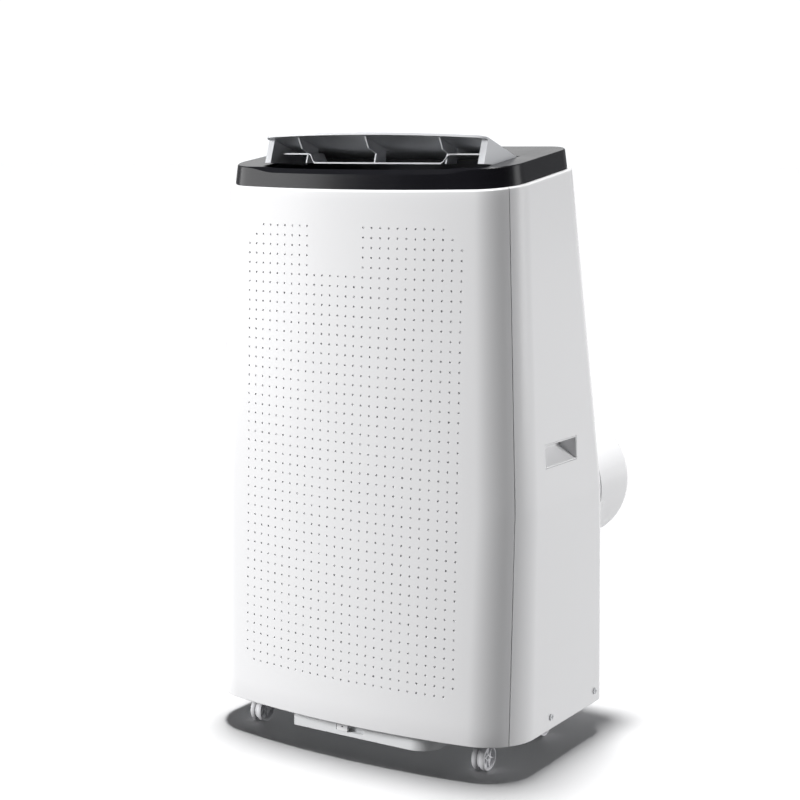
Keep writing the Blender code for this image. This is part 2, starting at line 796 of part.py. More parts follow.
def louvre_stepper(finish):
    y, z = hinge_point()
    start = (LOUVRE_RIGHT + PIN_REACH + GAP, y, z - STEPPER_OFFSET)
    place("louvre_stepper", rod(STEPPER_RADIUS, start, STEPPER_LENGTH, (1.0, 0.0, 0.0), 20), finish)


def outlet_duct(finish):
    """The open box below the deck that holds the louvre, with the finger guard as its floor."""
    rear = outlet_rear()
    grow = OUTLET_CLEARANCE

    def wall_row(extra, level):
        """Its top edge follows the deck's underside, which is lower behind the bevelled front."""
        points = outlet_outline(grow + extra, rear + extra)
        if level is not None:
            return [(x, y, level) for x, y in points]
        drops = [DECK_PLATE + DECK_BROW + GAP] * OUTLET_STEPS + [DECK_PLATE + GAP] * 4
        return [(x, y, deck_height(y) - drop) for (x, y), drop in zip(points, drops)]

    floor = DUCT_FLOOR_Z
    rows = [
        wall_row(0.0, floor + DUCT_WALL),
        wall_row(0.0, None),
        wall_row(DUCT_WALL, None),
        wall_row(DUCT_WALL, floor),
    ]
    duct = place("outlet_duct", loft(rows, around=True), finish)
    low, high = LOUVRE_LEFT + GUARD_BAR, LOUVRE_RIGHT - GUARD_BAR
    pitch = (high - low + GUARD_BAR) / GUARD_SLOTS
    front = at(LOUVRE_FRONT) + BOW + GUARD_BAR
    for i in range(GUARD_SLOTS):
        x = low + i * pitch
        low_corner = (x, front, floor - REACH_THROUGH / 2)
        slot = box(low_corner, (x + pitch - GUARD_BAR, rear - GUARD_BAR, floor + REACH_THROUGH / 2))
        cut(duct, f"slot_{i}", slot)
    y, z = hinge_point()
    for word, middle in (("left", LOUVRE_LEFT), ("right", LOUVRE_RIGHT)):
        start = (middle - REACH_THROUGH / 2, y, z)
        cut(duct, f"bearing_{word}", rod(PIN_RADIUS + GAP, start, REACH_THROUGH, (1.0, 0.0, 0.0), 12))


# Control panel


def button_places():
    """Name and local X of each button, three each side of the display."""
    start = DISPLAY_WIDTH / 2 + BUTTON_MARGIN
    names = (("timer", "mode", "swing"), ("fan", "set", "power"))
    left = [(name, -start - BUTTON_PITCH * (2 - i)) for i, name in enumerate(names[0])]
    return left + [(name, start + BUTTON_PITCH * i) for i, name in enumerate(names[1])]


def control_panel(finishes):
    y = panel_centre_y()
    top = PANEL_PROUD
    low = top - PANEL_PLATE
    half, length = PANEL_WIDTH / 2, PANEL_LENGTH / 2
    panel = place(
        "control_panel", on_deck(box((-half, -length, low), (half, length, top)), y), finishes["gloss_black"]
    )
    window = (DISPLAY_WIDTH / 2, DISPLAY_LENGTH / 2)
    low_corner = (-window[0] - GAP, -window[1] - GAP, -REACH_THROUGH)
    hole = box(low_corner, (window[0] + GAP, window[1] + GAP, REACH_THROUGH))
    cut(panel, "window", on_deck(hole, y))
    glass = box((-window[0], -window[1], low), (window[0], window[1], top))
    place("display_window", on_deck(glass, y), finishes["display"])
    for name, x in button_places():
        start = (x, 0.0, -REACH_THROUGH)
        hole = rod(BUTTON_RADIUS + GAP, start, 2 * REACH_THROUGH, (0.0, 0.0, 1.0), 20)
        cut(panel, name, on_deck(hole, y))
        flange = low - GAP - BUTTON_FLANGE
        key = top + BUTTON_PROUD - flange - BUTTON_FLANGE
        steps = ((BUTTON_RADIUS + BUTTON_BRIM, BUTTON_FLANGE), (BUTTON_RADIUS, key))
        bm = on_deck(stepped_rod(steps, (x, 0.0, flange), (0.0, 0.0, 1.0)), y)
        centre = deck_frame(y) @ Vector((x, 0.0, top))
        place(f"button_{name}", bm, finishes["button"], centre, smooth=True)
    board = low - BOARD_DROP
    low_corner = (-half + BOARD_MARGIN, -length + BOARD_MARGIN, board - BOARD_PLATE)
    bm = box(low_corner, (half - BOARD_MARGIN, length - BOARD_MARGIN, board))
    place("control_board", on_deck(bm, y), finishes["board"])


# Sides: handles and screws


def handle_cup(side, word, finish):
    """A moulded cup in the side: its floor slopes up and inward from the lower edge to a narrow throat."""
    lean = side_lean()
    near = half_width(HANDLE_LOW)
    low_corner, rear_corner, high_corner, top_corner = handle_outline(-GAP)

    def face(depth, corners):
        return [(side * (near - lean * (z - HANDLE_LOW) - depth), y, z) for y, z in corners]

    corners = (low_corner, rear_corner, high_corner, top_corner)
    mesh = loft([face(0.0, corners), face(HANDLE_DEPTH, corners)], around=True)
    cup = place(f"handle_cup_{word}", mesh, finish)
    front, rear = low_corner[0] + HANDLE_WALL, rear_corner[0] - HANDLE_WALL
    low, high = low_corner[1] + HANDLE_WALL, high_corner[1] - HANDLE_WALL
    deep = near - HANDLE_DEPTH + 2 * HANDLE_WALL
    outside = near + REACH_THROUGH / 2
    section = ((outside, low), (near - HANDLE_WALL, low), (deep, high - HANDLE_THROAT), (deep, high), (outside, high))
    outline = [(side * x, front, z) for x, z in section]
    cut(cup, "hollow", prism(outline, (0.0, rear - front, 0.0)))


def side_screws(finish):
    for side, word in ((-1, "left"), (1, "right")):
        for place_word, depth in zip(("front", "rear"), SCREW_DEPTHS):
            outside = half_width(SCREW_HEIGHT) + GAP
            start = (side * (outside + SCREW_HEAD_HEIGHT), at(depth), SCREW_HEIGHT)
            steps = ((SCREW_HEAD, SCREW_HEAD_HEIGHT), (SCREW_SHANK, SCREW_LENGTH))
            bm = stepped_rod(steps, start, (-side, 0.0, 0.0), segments=16)
            slot = SLOT_WIDTH / 2
            screw = place(f"side_screw_{word}_{place_word}", bm, finish, start, smooth=True)
            low = (start[0] - SLOT_DEPTH, start[1] - SLOT_HALF, start[2] - slot)
            high = (start[0] + SLOT_DEPTH, start[1] + SLOT_HALF, start[2] + slot)
            cut(screw, "slot", box(low, high))
            low = (start[0] - SLOT_DEPTH, start[1] - slot, start[2] - SLOT_HALF)
            high = (start[0] + SLOT_DEPTH, start[1] + slot, start[2] + SLOT_HALF)
            cut(screw, "slot_across", box(low, high))


# Rear: hose connector, filters, drain cap, cord gland


def hose_connector(finish):
    """A round collar for the hose, open right through, with a rounded rear edge and a spigot in the port."""
    outer = CONNECTOR_RADIUS
    front = PORT_PROUD + GAP
    rim = CONNECTOR_REACH - CONNECTOR_ROUND
    profile = [(SPIGOT_RADIUS, -SPIGOT_DEPTH), (SPIGOT_RADIUS, front), (outer, front), (outer, rim)]
    for step in spread(0.0, QUARTER, 5)[1:]:
        reach = CONNECTOR_ROUND * (1 - math.cos(step))
        profile.append((outer - reach, rim + CONNECTOR_ROUND * math.sin(step)))
    lip = outer - CONNECTOR_ROUND - CONNECTOR_LIP
    profile += [(lip, CONNECTOR_REACH), (lip, -SPIGOT_DEPTH)]
    centre = (CONNECTOR_X, REAR_Y, CONNECTOR_Z)
    bm = turned(profile, centre, (0.0, 1.0, 0.0), PORT_SIDES)
    place("hose_connector", bm, finish, centre, smooth=True)


def filter_panel(name, intake, slats, finish):
    width, length = intake_size(intake)
    half, length = width / 2 - FILTER_CLEARANCE, length - 2 * FILTER_CLEARANCE
    xs = [-half, -half + INTAKE_FRAME, -INTAKE_MULLION / 2, INTAKE_MULLION / 2, half - INTAKE_FRAME, half]
    pitch = (length - 2 * INTAKE_FRAME) / (2 * slats - 1)
    zs = [0.0] + [INTAKE_FRAME + pitch * i for i in range(2 * slats)] + [length]
    matrix = rear_frame(intake[2])
    middle = (intake[0] + intake[1]) / 2
    matrix = matrix @ Matrix.Translation((middle, -FILTER_PLATE - FILTER_SINK, FILTER_CLEARANCE))

    def is_hole(i, j):
        return i in (1, 3) and j % 2 == 1 and 0 < j < len(zs) - 2

    bm = pierced_plate(xs, zs, is_hole, FILTER_PLATE, matrix)
    place(name, bm, finish, matrix.translation)


def drain_cap(finish):
    x, z = REAR_DRAIN
    steps = ((DRAIN_BORE, DRAIN_PLUG_LENGTH), (DRAIN_CAP, DRAIN_CAP_HEIGHT))
    start = (x, REAR_Y + GAP - DRAIN_PLUG_LENGTH, z)
    place("rear_drain_cap", stepped_rod(steps, start, (0.0, 1.0, 0.0)), finish, (x, REAR_Y, z), smooth=True)


def cord_gland(finish):
    x, z = CORD_INLET
    profile = [
        (GLAND_NECK, -GLAND_SHANK),
        (GLAND_NECK, GAP),
        (GLAND_RADIUS, GAP),
        (GLAND_RADIUS, GLAND_COLLAR),
        (GLAND_BORE + GLAND_TIP, GLAND_REACH),
        (GLAND_BORE, GLAND_REACH),
        (GLAND_BORE, -GLAND_SHANK),
    ]
    place("cord_gland", turned(profile, (x, REAR_Y, z), (0.0, 1.0, 0.0), 20), finish, smooth=True)


# Base


def base_pan(finish):
    stops = whole_ring()
    rows = [
        ring(stops, PAN_Z + WALL, PAN_INSET + WALL),
        ring(stops, PAN_RIM_Z, PAN_INSET + WALL),
        ring(stops, PAN_RIM_Z, PAN_INSET),
        ring(stops, PAN_Z, PAN_INSET),
    ]
    pan = place("base_pan", loft(rows, around=True), finish, smooth=True)
    for side, word in ((-1, "left"), (1, "right")):
        for i, depth in enumerate(SCREW_DEPTHS):
            cut(pan, f"screw_{word}_{i}", side_hole(side, depth, SCREW_HEIGHT, SCREW_SHANK + GAP))


def sump(finish):
    """The lowest water collector, under the pan, with a pocket for the drain plug in its front."""
    left, right, front, rear = SUMP
    outline = [(left, at(front)), (right - SUMP_ROUND, at(front))]
    for step in spread(0.0, QUARTER, 6)[1:]:
        x = right - SUMP_ROUND + SUMP_ROUND * math.sin(step)
        outline.append((x, at(front) + SUMP_ROUND * (1 - math.cos(step))))
    outline += [(right, at(rear)), (left, at(rear))]
    floor = [(x, y, SUMP_Z) for x, y in outline]
    body = place("drain_sump", prism(floor, (0.0, 0.0, PAN_Z - GAP - SUMP_Z)), finish)
    z0, z1 = plug_heights()
    low = (PLUG_X - PLUG_WIDTH / 2 - POCKET_SIDE, at(front) - REACH_THROUGH / 2, z0 - GAP)
    high = (PLUG_X + PLUG_WIDTH / 2 + POCKET_RIGHT, at(front) + POCKET_DEPTH, z1 + GAP)
    cut(body, "pocket", box(low, high))
    centre = (PLUG_X, at(front), (z0 + z1) / 2)
    length = POCKET_DEPTH + PLUG_LENGTH + PLUG_ROOM
    cut(body, "drain_bore", rod(PLUG_SHANK + GAP, centre, length, (0.0, 1.0, 0.0), 16))


def plug_heights():
    middle = (SUMP_Z + PAN_Z) / 2 + PLUG_RISE
    return middle - PLUG_HEIGHT / 2, middle + PLUG_HEIGHT / 2


def drain_plug(finish):
    z0, z1 = plug_heights()
    front = at(SUMP[2]) - PLUG_PROUD
    back = at(SUMP[2]) + POCKET_DEPTH - GAP
    centre = (PLUG_X, back, (z0 + z1) / 2)
    low = (PLUG_X - PLUG_WIDTH / 2, front, z0)
    high = (PLUG_X + PLUG_WIDTH / 2, back, z1)
    plug = place("drain_plug", box(low, high), finish, centre)
    shank = rod(PLUG_SHANK, (PLUG_X, back - WELD, centre[2]), PLUG_LENGTH, (0.0, 1.0, 0.0), 16)
    add(plug, "shank", shank)
    eye = rod(EYE_RADIUS, (PLUG_X, front - WELD, centre[2]), WELD + EYE_DEPTH, (0.0, 1.0, 0.0), 10)
    cut(plug, "eye", eye)


def castor(name, x, depth, finishes):
    """A twin-wheel castor: a yoke that swivels, a wheel pair joined by its hub, and the axle through it."""
    y, z = at(depth), WHEEL_RADIUS
    pivot = (x, y + CASTOR_TRAIL, PAN_Z - GAP)
    inner = WEB / 2 + GAP
    outer = WHEEL_WIDTH / 2
    dish = WHEEL_DISH
    bore = AXLE_RADIUS + GAP
    flat = WHEEL_RADIUS / math.cos(math.pi / WHEEL_SIDES)
    profile = [
        (bore, -outer + dish), (HUB_RADIUS, -outer + dish),
        (HUB_RADIUS + TREAD_EDGE, -outer + dish + TREAD_EDGE), (flat - TREAD, -outer + dish + TREAD_EDGE),
        (flat - TREAD, -outer), (flat - TREAD_EDGE, -outer), (flat, -outer + TREAD_EDGE),
        (flat, -inner), (HUB_RADIUS, -inner),
    ]
    profile += [(r, -h) for r, h in reversed(profile)]
    wheel = turned(profile, (x, y, z), (1.0, 0.0, 0.0), WHEEL_SIDES, phase=0.5)
    place(f"{name}_wheel", wheel, finishes["wheel"], (x, y, z), smooth=True)
    axle = rod(AXLE_RADIUS, (x - outer + dish, y, z), 2 * (outer - dish), (1.0, 0.0, 0.0), 12)
    place(f"{name}_axle", axle, finishes["steel"], (x, y, z), smooth=True)
    start = (pivot[0], pivot[1], pivot[2] - PLATE_THICKNESS)
    plate = rod(PLATE_RADIUS, start, PLATE_THICKNESS, (0.0, 0.0, 1.0), 20)
    yoke = place(f"{name}_yoke", plate, finishes["castor"], pivot, smooth=True)
    top = pivot[2] - PLATE_THICKNESS / 2
    web_radius = WHEEL_RADIUS - WELD
    arc = []
    for step in spread(math.radians(-35.0), math.radians(215.0), 13):
        arc.append((x - WEB / 2, y + web_radius * math.cos(step), z + web_radius * math.sin(step)))
    add(yoke, "web", prism(arc, (WEB, 0.0, 0.0)))
    low_corner = (x - WEB / 2, y - 2 * WELD, z + HUB_RADIUS + 2 * WELD)
    neck = box(low_corner, (x + WEB / 2, pivot[1] + NECK_REAR, top))
    add(yoke, "neck", neck)
    cut(yoke, "hub", rod(HUB_RADIUS + GAP, (x - WHEEL_WIDTH, y, z), 2 * WHEEL_WIDTH, (1.0, 0.0, 0.0), 16))
    low_corner = (x - WHEEL_WIDTH, y - HUB_RADIUS - GAP, -WHEEL_RADIUS)
    slot = box(low_corner, (x + WHEEL_WIDTH, y + HUB_RADIUS + GAP, z))
    cut(yoke, "slot", slot)


# Inside the cabinet


def mid_partition(finish):
    """The tray between the cold upper half and the warm lower half, which catches the condensate."""
    stops = whole_ring()
    low, high = PARTITION_Z, PARTITION_Z + PARTITION_RIM
    rows = [
        ring(stops, low + WALL, PARTITION_INSET + WALL),
        ring(stops, high, PARTITION_INSET + WALL),
        ring(stops, high, PARTITION_INSET),
        ring(stops, low, PARTITION_INSET),
    ]
    tray = place("mid_partition", loft(rows, around=True), finish, smooth=True)
    x, depth = suction_drop()
    start = (x, at(depth), low - REACH_THROUGH / 2)
    cut(tray, "pipe_hole", rod(2 * PIPE_RADIUS, start, REACH_THROUGH, (0.0, 0.0, 1.0), 12))


def block(name, corners, finish):
    (x0, d0, z0), (x1, d1, z1) = corners
    return place(name, box((x0, at(d0), z0), (x1, at(d1), z1)), finish)


def compressor(finish):
    """A welded can on a square foot plate."""
    x, depth = COMPRESSOR
    low, high = COMPRESSOR_Z
    radius = COMPRESSOR_RADIUS
    foot = low + MOUNT_PLATE - WELD / 2
    body = high - foot - CAN_FOOT[1] - CAN_SHOULDER[1] - CAN_CAP[1]
    steps = (CAN_FOOT, (radius, body), CAN_SHOULDER, CAN_CAP)
    mesh = stepped_rod(steps, (x, at(depth), foot), (0.0, 0.0, 1.0), 28)
    can = place("compressor", mesh, finish, smooth=True)
    half = MOUNT_HALF
    plate = box((x - half, at(depth) - half, low), (x + half, at(depth) + half, low + MOUNT_PLATE))
    add(can, "foot", plate)


def upper_blower(finishes):
    """A cross-flow drum along the width, in its scroll, driven by a motor at its right end."""
    y, z = at(DRUM_DEPTH), DRUM_Z
    x0, x1 = DRUM_X
    r = DRUM_RADIUS
    disc = FAN_DISC
    profile = [
        (SHAFT_RADIUS + GAP, 0.0), (r, 0.0), (r, x1 - x0), (r - DRUM_WALL, x1 - x0),
        (r - DRUM_WALL, disc), (SHAFT_RADIUS + GAP, disc),
    ]
    mesh = turned([(a, -b) for a, b in reversed(profile)], (x1, y, z), (1.0, 0.0, 0.0), 32)
    place("upper_blower_wheel", mesh, finishes["fan"], (x1, y, z), smooth=True)
    start = (x1 + SCROLL_GAP, y, z)
    motor = rod(MOTOR_RADIUS, start, MOTOR_LENGTH, (1.0, 0.0, 0.0), 24)
    body = place("upper_fan_motor", motor, finishes["motor"], start, smooth=True)
    tip = (x1 - disc - SHAFT_TIP, y, z)
    length = SHAFT_TIP + disc + SCROLL_GAP + SHAFT_ROOT
    add(body, "shaft", rod(SHAFT_RADIUS, tip, length, (1.0, 0.0, 0.0), 12))
    wall = SCROLL_WALL
    inner = r + SCROLL_GAP
    rows = []
    for step in spread(0.0, math.pi, 17):
        near = inner * (1.0 + SCROLL_GROWTH * step / math.pi)
        c, s = math.cos(SCROLL_START + step), math.sin(SCROLL_START + step)
        corners = ((x0, near), (x1, near), (x1, near + wall), (x0, near + wall))
        rows.append([(x, y + c * reach, z + s * reach) for x, reach in corners])
    place("upper_blower_scroll", loft(rows, around=True), finishes["fan"], smooth=True)


def lower_blower(finishes):
    """A centrifugal wheel in a flat scroll that pushes warm air into the exhaust duct."""
    x, z = BLOWER
    d0, d1 = BLOWER_DEPTHS
    y0, y1 = at(d0), at(d1)
    r = BLOWER_RADIUS
    bore = SHAFT_RADIUS + GAP
    deep = y1 - y0 - 2 * IMPELLER_GAP
    profile = [
        (bore, 0.0), (r, 0.0), (r, deep), (r - IMPELLER_BLADES, deep),
        (r - IMPELLER_BLADES, FAN_DISC), (bore, FAN_DISC),
    ]
    centre = (x, y0 + IMPELLER_GAP, z)
    mesh = turned(profile, centre, (0.0, 1.0, 0.0), 32)
    place("lower_blower_wheel", mesh, finishes["fan"], centre, smooth=True)
    wall = SCROLL_WALL
    ring_inner, ring_outer = r + SCROLL_GAP, r + SCROLL_GAP + wall
    hole = BLOWER_EYE
    profile = [
        (ring_outer, -wall), (ring_outer, y1 - y0 + wall), (hole, y1 - y0 + wall), (hole, y1 - y0),
        (ring_inner, y1 - y0), (ring_inner, 0.0), (2.2 * bore, 0.0), (2.2 * bore, -wall),
    ]
    mesh = turned(profile, (x, y0, z), (0.0, 1.0, 0.0), 32)
    place("lower_blower_scroll", mesh, finishes["fan"], smooth=True)
    start = (x, y0 - wall - GAP, z)
    mesh = rod(MOTOR_RADIUS, start, MOTOR_LENGTH, (0.0, -1.0, 0.0), 24)
    body = place("lower_fan_motor", mesh, finishes["motor"], start, smooth=True)
    tip = wall + GAP + IMPELLER_GAP + FAN_DISC + SHAFT_ROOT
    root = (x, start[1] - 2 * WELD, z)
    add(body, "shaft", rod(SHAFT_RADIUS, root, 2 * WELD + tip, (0.0, 1.0, 0.0), 12))


def exhaust_duct(finish):
    """The box between the warm side and the port in the rear wall, open at its rear and its front."""
    half = SPIGOT_RADIUS + EXHAUST_MARGIN
    wall = DUCT_WALL
    y0, y1 = at(EXHAUST_DEPTH), REAR_Y - SPIGOT_DEPTH - EXHAUST_GAP
    xs = (CONNECTOR_X - half - wall, CONNECTOR_X - half, CONNECTOR_X + half, CONNECTOR_X + half + wall)
    zs = (CONNECTOR_Z - half - wall, CONNECTOR_Z - half, CONNECTOR_Z + half, CONNECTOR_Z + half + wall)
    inner = [(xs[1], zs[1]), (xs[2], zs[1]), (xs[2], zs[2]), (xs[1], zs[2])]
    outer = [(xs[0], zs[0]), (xs[3], zs[0]), (xs[3], zs[3]), (xs[0], zs[3])]
    rows = [[(x, y, z) for x, z in loop] for loop, y in ((inner, y0), (inner, y1), (outer, y1), (outer, y0))]
    place("exhaust_duct", loft(rows, around=True, wrap=True), finish)


def splash_wheel(finishes):
    x, z = SPLASH
    y = at(SPLASH_DEPTH)
    bore = SPLASH_SHAFT + GAP
    hub_radius, hub_length = SPLASH_HUB
    profile = [
        (bore, 0.0), (SPLASH_RADIUS, 0.0), (SPLASH_RADIUS, SPLASH_DISC), (hub_radius, SPLASH_DISC),
        (hub_radius, hub_length), (bore, hub_length),
    ]
    mesh = turned(profile, (x, y, z), (0.0, 1.0, 0.0), 24)
    place("splash_wheel", mesh, finishes["fan"], (x, y, z), smooth=True)
    radius, length = SPLASH_MOTOR
    start = (x, y - SPLASH_GAP, z)
    body = place("splash_motor", rod(radius, start, length, (0.0, -1.0, 0.0), 20), finishes["motor"], start)
    root = (x, start[1] - 2 * WELD, z)
    add(body, "shaft", rod(SPLASH_SHAFT, root, 2 * WELD + SPLASH_GAP + hub_length - WELD, (0.0, 1.0, 0.0), 10))


def pipe(name, points, finish):
    curve = bpy.data.curves.new(name, "CURVE")
    curve.dimensions = "3D"
    curve.bevel_depth = PIPE_RADIUS
    curve.bevel_resolution = 1
    curve.use_fill_caps = True
    spline = curve.splines.new("POLY")
    smooth = rounded_route(points, PIPE_BEND)
    spline.points.add(len(smooth) - 1)
    for point, co in zip(spline.points, smooth):
        point.co = (*co, 1.0)
    obj = bpy.data.objects.new(name, curve)
    bpy.context.scene.collection.objects.link(obj)
    curve.materials.append(finish)


def rounded_route(points, radius):
    """A route of straight runs whose corners are rounded by short quadratic bends."""
    route = [Vector(points[0])]
    for before, corner, after in zip(points, points[1:], points[2:]):
        before, corner, after = Vector(before), Vector(corner), Vector(after)
        enter = corner + (before - corner).normalized() * radius
        leave = corner + (after - corner).normalized() * radius
        for t in spread(0.0, 1.0, 5):
            route.append((1 - t) ** 2 * enter + 2 * t * (1 - t) * corner + t**2 * leave)
    return route + [Vector(points[-1])]


def suction_drop():
    """Where the suction pipe passes down through the partition, as X and depth."""
    return EVAPORATOR[0][0] - PIPE_STANDOFF, (EVAPORATOR[0][1] + EVAPORATOR[1][1]) / 2


def pipes(finish):
    """The suction pipe from the evaporator and the discharge pipe to the condenser."""
    x, depth = COMPRESSOR
    top = COMPRESSOR_Z[1] + GAP
    drop_x, drop_depth = suction_drop()
    high = EVAPORATOR[0][2] + PIPE_STANDOFF
    low = top + PIPE_STANDOFF
    port = (x + PIPE_PORT, at(depth + PIPE_PORT))
    pipe("suction_pipe", [
        (EVAPORATOR[0][0] - GAP, at(drop_depth), high),
        (drop_x, at(drop_depth), high),
        (drop_x, at(drop_depth), low),
        (port[0], at(drop_depth), low),
        (port[0], port[1], low),
        (port[0], port[1], top),
    ], finish)
    port = (x - PIPE_PORT, at(depth - PIPE_PORT))
    high = CONDENSER[1][2] - PIPE_STANDOFF
    face = at(CONDENSER[0][1]) - GAP
    pipe("discharge_pipe", [(port[0], port[1], top), (port[0], port[1], high), (port[0], face, high)], finish)


def build():
    clear_scene()
    finishes = {
        "white": material("gloss_white", (0.86, 0.86, 0.87), 0.22),
        "deck": material("gloss_dark_grey", (0.030, 0.030, 0.034), 0.18),
        "louvre": material("light_grey", (0.62, 0.63, 0.65), 0.35),
        "outlet": material("outlet_dark", (0.045, 0.046, 0.05), 0.45),
        "gloss_black": material("panel_black", (0.010, 0.010, 0.012), 0.10),
        "display": material("display_black", (0.004, 0.005, 0.006), 0.05),
        "button": material("button_grey", (0.12, 0.12, 0.13), 0.40),
        "board": material("circuit_board", (0.02, 0.16, 0.06), 0.50),
        "pan": material("base_grey", (0.70, 0.71, 0.72), 0.45),
        "filter": material("filter_white", (0.80, 0.80, 0.81), 0.40),
        "rubber": material("rubber_black", (0.02, 0.02, 0.02), 0.70),
        "castor": material("castor_white", (0.66, 0.66, 0.68), 0.40),
        "wheel": material("wheel_grey", (0.62, 0.62, 0.64), 0.45),
        "steel": material("steel", (0.56, 0.57, 0.58), 0.30, 1.0),
        "compressor": material("painted_black", (0.03, 0.03, 0.03), 0.40),
        "fins": material("aluminium_fins", (0.78, 0.79, 0.80), 0.40, 1.0),
        "copper": material("copper", (0.72, 0.34, 0.20), 0.30, 1.0),
        "fan": material("fan_grey", (0.16, 0.17, 0.18), 0.50),
        "motor": material("motor_grey", (0.36, 0.37, 0.38), 0.40, 1.0),
        "duct": material("duct_foam", (0.72, 0.73, 0.74), 0.80),
    }
    front_panel(finishes["white"])
    rear_cabinet(finishes["white"])
    top_deck(finishes["deck"])
    louvre_flap(finishes["louvre"])
    louvre_vanes(finishes["louvre"])
    louvre_pins(finishes["steel"])
    louvre_stepper(finishes["motor"])
    outlet_duct(finishes["outlet"])
    control_panel(finishes)
    handle_cup(-1, "left", finishes["white"])
    handle_cup(1, "right", finishes["white"])
    side_screws(finishes["steel"])
    hose_connector(finishes["white"])
    filter_panel("upper_filter", UPPER_INTAKE, UPPER_SLATS, finishes["filter"])
    filter_panel("lower_filter", LOWER_INTAKE, LOWER_SLATS, finishes["filter"])
    drain_cap(finishes["rubber"])
    cord_gland(finishes["rubber"])
    base_pan(finishes["pan"])
    sump(finishes["pan"])
    drain_plug(finishes["white"])
    for row, depth in (("front", FRONT_WHEEL_DEPTH), ("rear", REAR_WHEEL_DEPTH)):
        for word, side in (("left", -1), ("right", 1)):
            castor(f"{row}_{word}_castor", side * WHEEL_X, depth, finishes)
    mid_partition(finishes["duct"])
    block("evaporator", EVAPORATOR, finishes["fins"])
    block("condenser", CONDENSER, finishes["fins"])
    block("electrical_box", ELECTRICS, finishes["steel"])
    compressor(finishes["compressor"])
    upper_blower(finishes)
    lower_blower(finishes)
    exhaust_duct(finishes["duct"])
    splash_wheel(finishes)
    pipes(finishes["copper"])


build()
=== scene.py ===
"""Looks of the portable air conditioner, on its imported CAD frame. Metres, +Z up, front towards -Y."""

import json
import math

import bmesh
import bpy
from mathutils import Matrix, Vector


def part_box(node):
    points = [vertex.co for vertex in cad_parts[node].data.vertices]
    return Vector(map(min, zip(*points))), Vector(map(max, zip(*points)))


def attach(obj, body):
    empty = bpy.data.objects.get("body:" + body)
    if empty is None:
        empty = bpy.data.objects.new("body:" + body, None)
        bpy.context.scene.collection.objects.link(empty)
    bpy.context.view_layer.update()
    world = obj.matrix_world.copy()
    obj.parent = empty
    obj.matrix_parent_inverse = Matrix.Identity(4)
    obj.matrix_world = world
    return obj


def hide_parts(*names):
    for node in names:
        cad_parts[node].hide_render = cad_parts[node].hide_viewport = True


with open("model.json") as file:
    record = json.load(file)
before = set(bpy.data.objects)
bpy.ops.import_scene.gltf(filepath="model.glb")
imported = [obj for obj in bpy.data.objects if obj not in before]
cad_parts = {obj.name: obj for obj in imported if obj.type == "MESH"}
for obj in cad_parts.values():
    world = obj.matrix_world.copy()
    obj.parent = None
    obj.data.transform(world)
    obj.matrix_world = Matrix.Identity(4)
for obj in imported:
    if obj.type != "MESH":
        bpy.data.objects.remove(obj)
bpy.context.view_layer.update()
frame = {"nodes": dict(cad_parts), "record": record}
nodes = frame["nodes"]

# The casing's sizes, as in the CAD model
WIDTH, TOP_WIDTH, REAR_TAPER = 0.433, 0.401, 0.0468
FRONT_Y, REAR_Y = -0.1684, 0.0904
FOOT_Z, WAIST_Z, RIM_Z, RIM_TILT = 0.0418, 0.3092, 0.6636, 0.146
LEAN, BOW, BOW_SPAN = 0.0194, 0.0142, 0.1663
FRONT_RADIUS, TOP_FRONT_RADIUS = 0.0640, 0.0500
REAR_RADIUS, TOP_REAR_RADIUS = 0.0160, 0.0396
WALL, RIM_LEDGE = 0.0025, 0.0065
SEAM_ANGLE, SEAM_GAP, SEAM_DEPTH = math.radians(54.0), 0.0008, 0.0040
RIM_ROUND, FOOT_ROUND = 0.0022, 0.0012
OUTLET_FRONT, OUTLET_BEVEL = FRONT_Y + 0.0323, (0.0080, 0.0030)
GRILLE_FRAME, GRILLE_PLATE, GRILLE_CLEARANCE = 0.0090, 0.0060, 0.0006
QUARTER = math.pi / 2
CORNER_START = math.radians(10.0)

# The dot grid on the front
DOT_PITCH = 0.0112
DOT_COLUMNS, DOT_ROWS = 13, 48
DOT_MIDDLE = 32.05 * DOT_PITCH
DOT_RADIUS, DOT_DEPTH, DOT_LIP = 0.00125, 0.0014, 0.00015
BLANK_COLUMNS, BLANK_ROWS = (-4, 1), 5

# Holes in the back and the sides, and what fits them
UPPER_INTAKE = (-0.1500, 0.1500, 0.4150, 0.6200)
LOWER_INTAKE = (-0.1720, 0.0400, 0.0950, 0.3000)
PORT = (0.1330, 0.3020)
PORT_RADIUS, SPIGOT_RADIUS = 0.0810, 0.0700
COLLAR_RADIUS, COLLAR_REACH = 0.0785, 0.0780
DRAIN_BORE, CORD_BORE = 0.0073, 0.0078
GAP, PORT_PROUD = 0.0003, 0.0010
PORT_SIDES, BORE_SIDES = 96, 32
THROUGH = 0.02

# Rows of the wall's mesh
FOOT_STEPS, RIM_STEPS = 3, 5
LOW_LEVEL, TOP_LEVEL, WAIST_EASE = 0.0660, 0.6570, 0.0060

# The deck
DECK_HEIGHT, DECK_INSET, DECK_DRAFT, DECK_PLATE = 0.0224, 0.0052, 0.0028, 0.0030
DECK_EDGE, DECK_BROW, BROW_HALF, BROW_FADE = 0.0010, 0.0060, 0.1150, 0.0450
DUCT_LIP = 0.0016
CUT_FLOOR, CUT_HEIGHT = 0.6, 0.2

# The wave texture's band at scale 1
WAVE_LENGTH = math.pi / 10


def spread(start, end, count):
    """Evenly spaced values, with both ends."""
    return [start + (end - start) * i / (count - 1) for i in range(count)]


# Node trees of the materials


def set_range(node, start, end, low, high):
    """Make a Map Range node carry start to end over to low to high."""
    for socket, number in zip(("From Min", "From Max", "To Min", "To Max"), (start, end, low, high)):
        node.inputs[socket].default_value = number


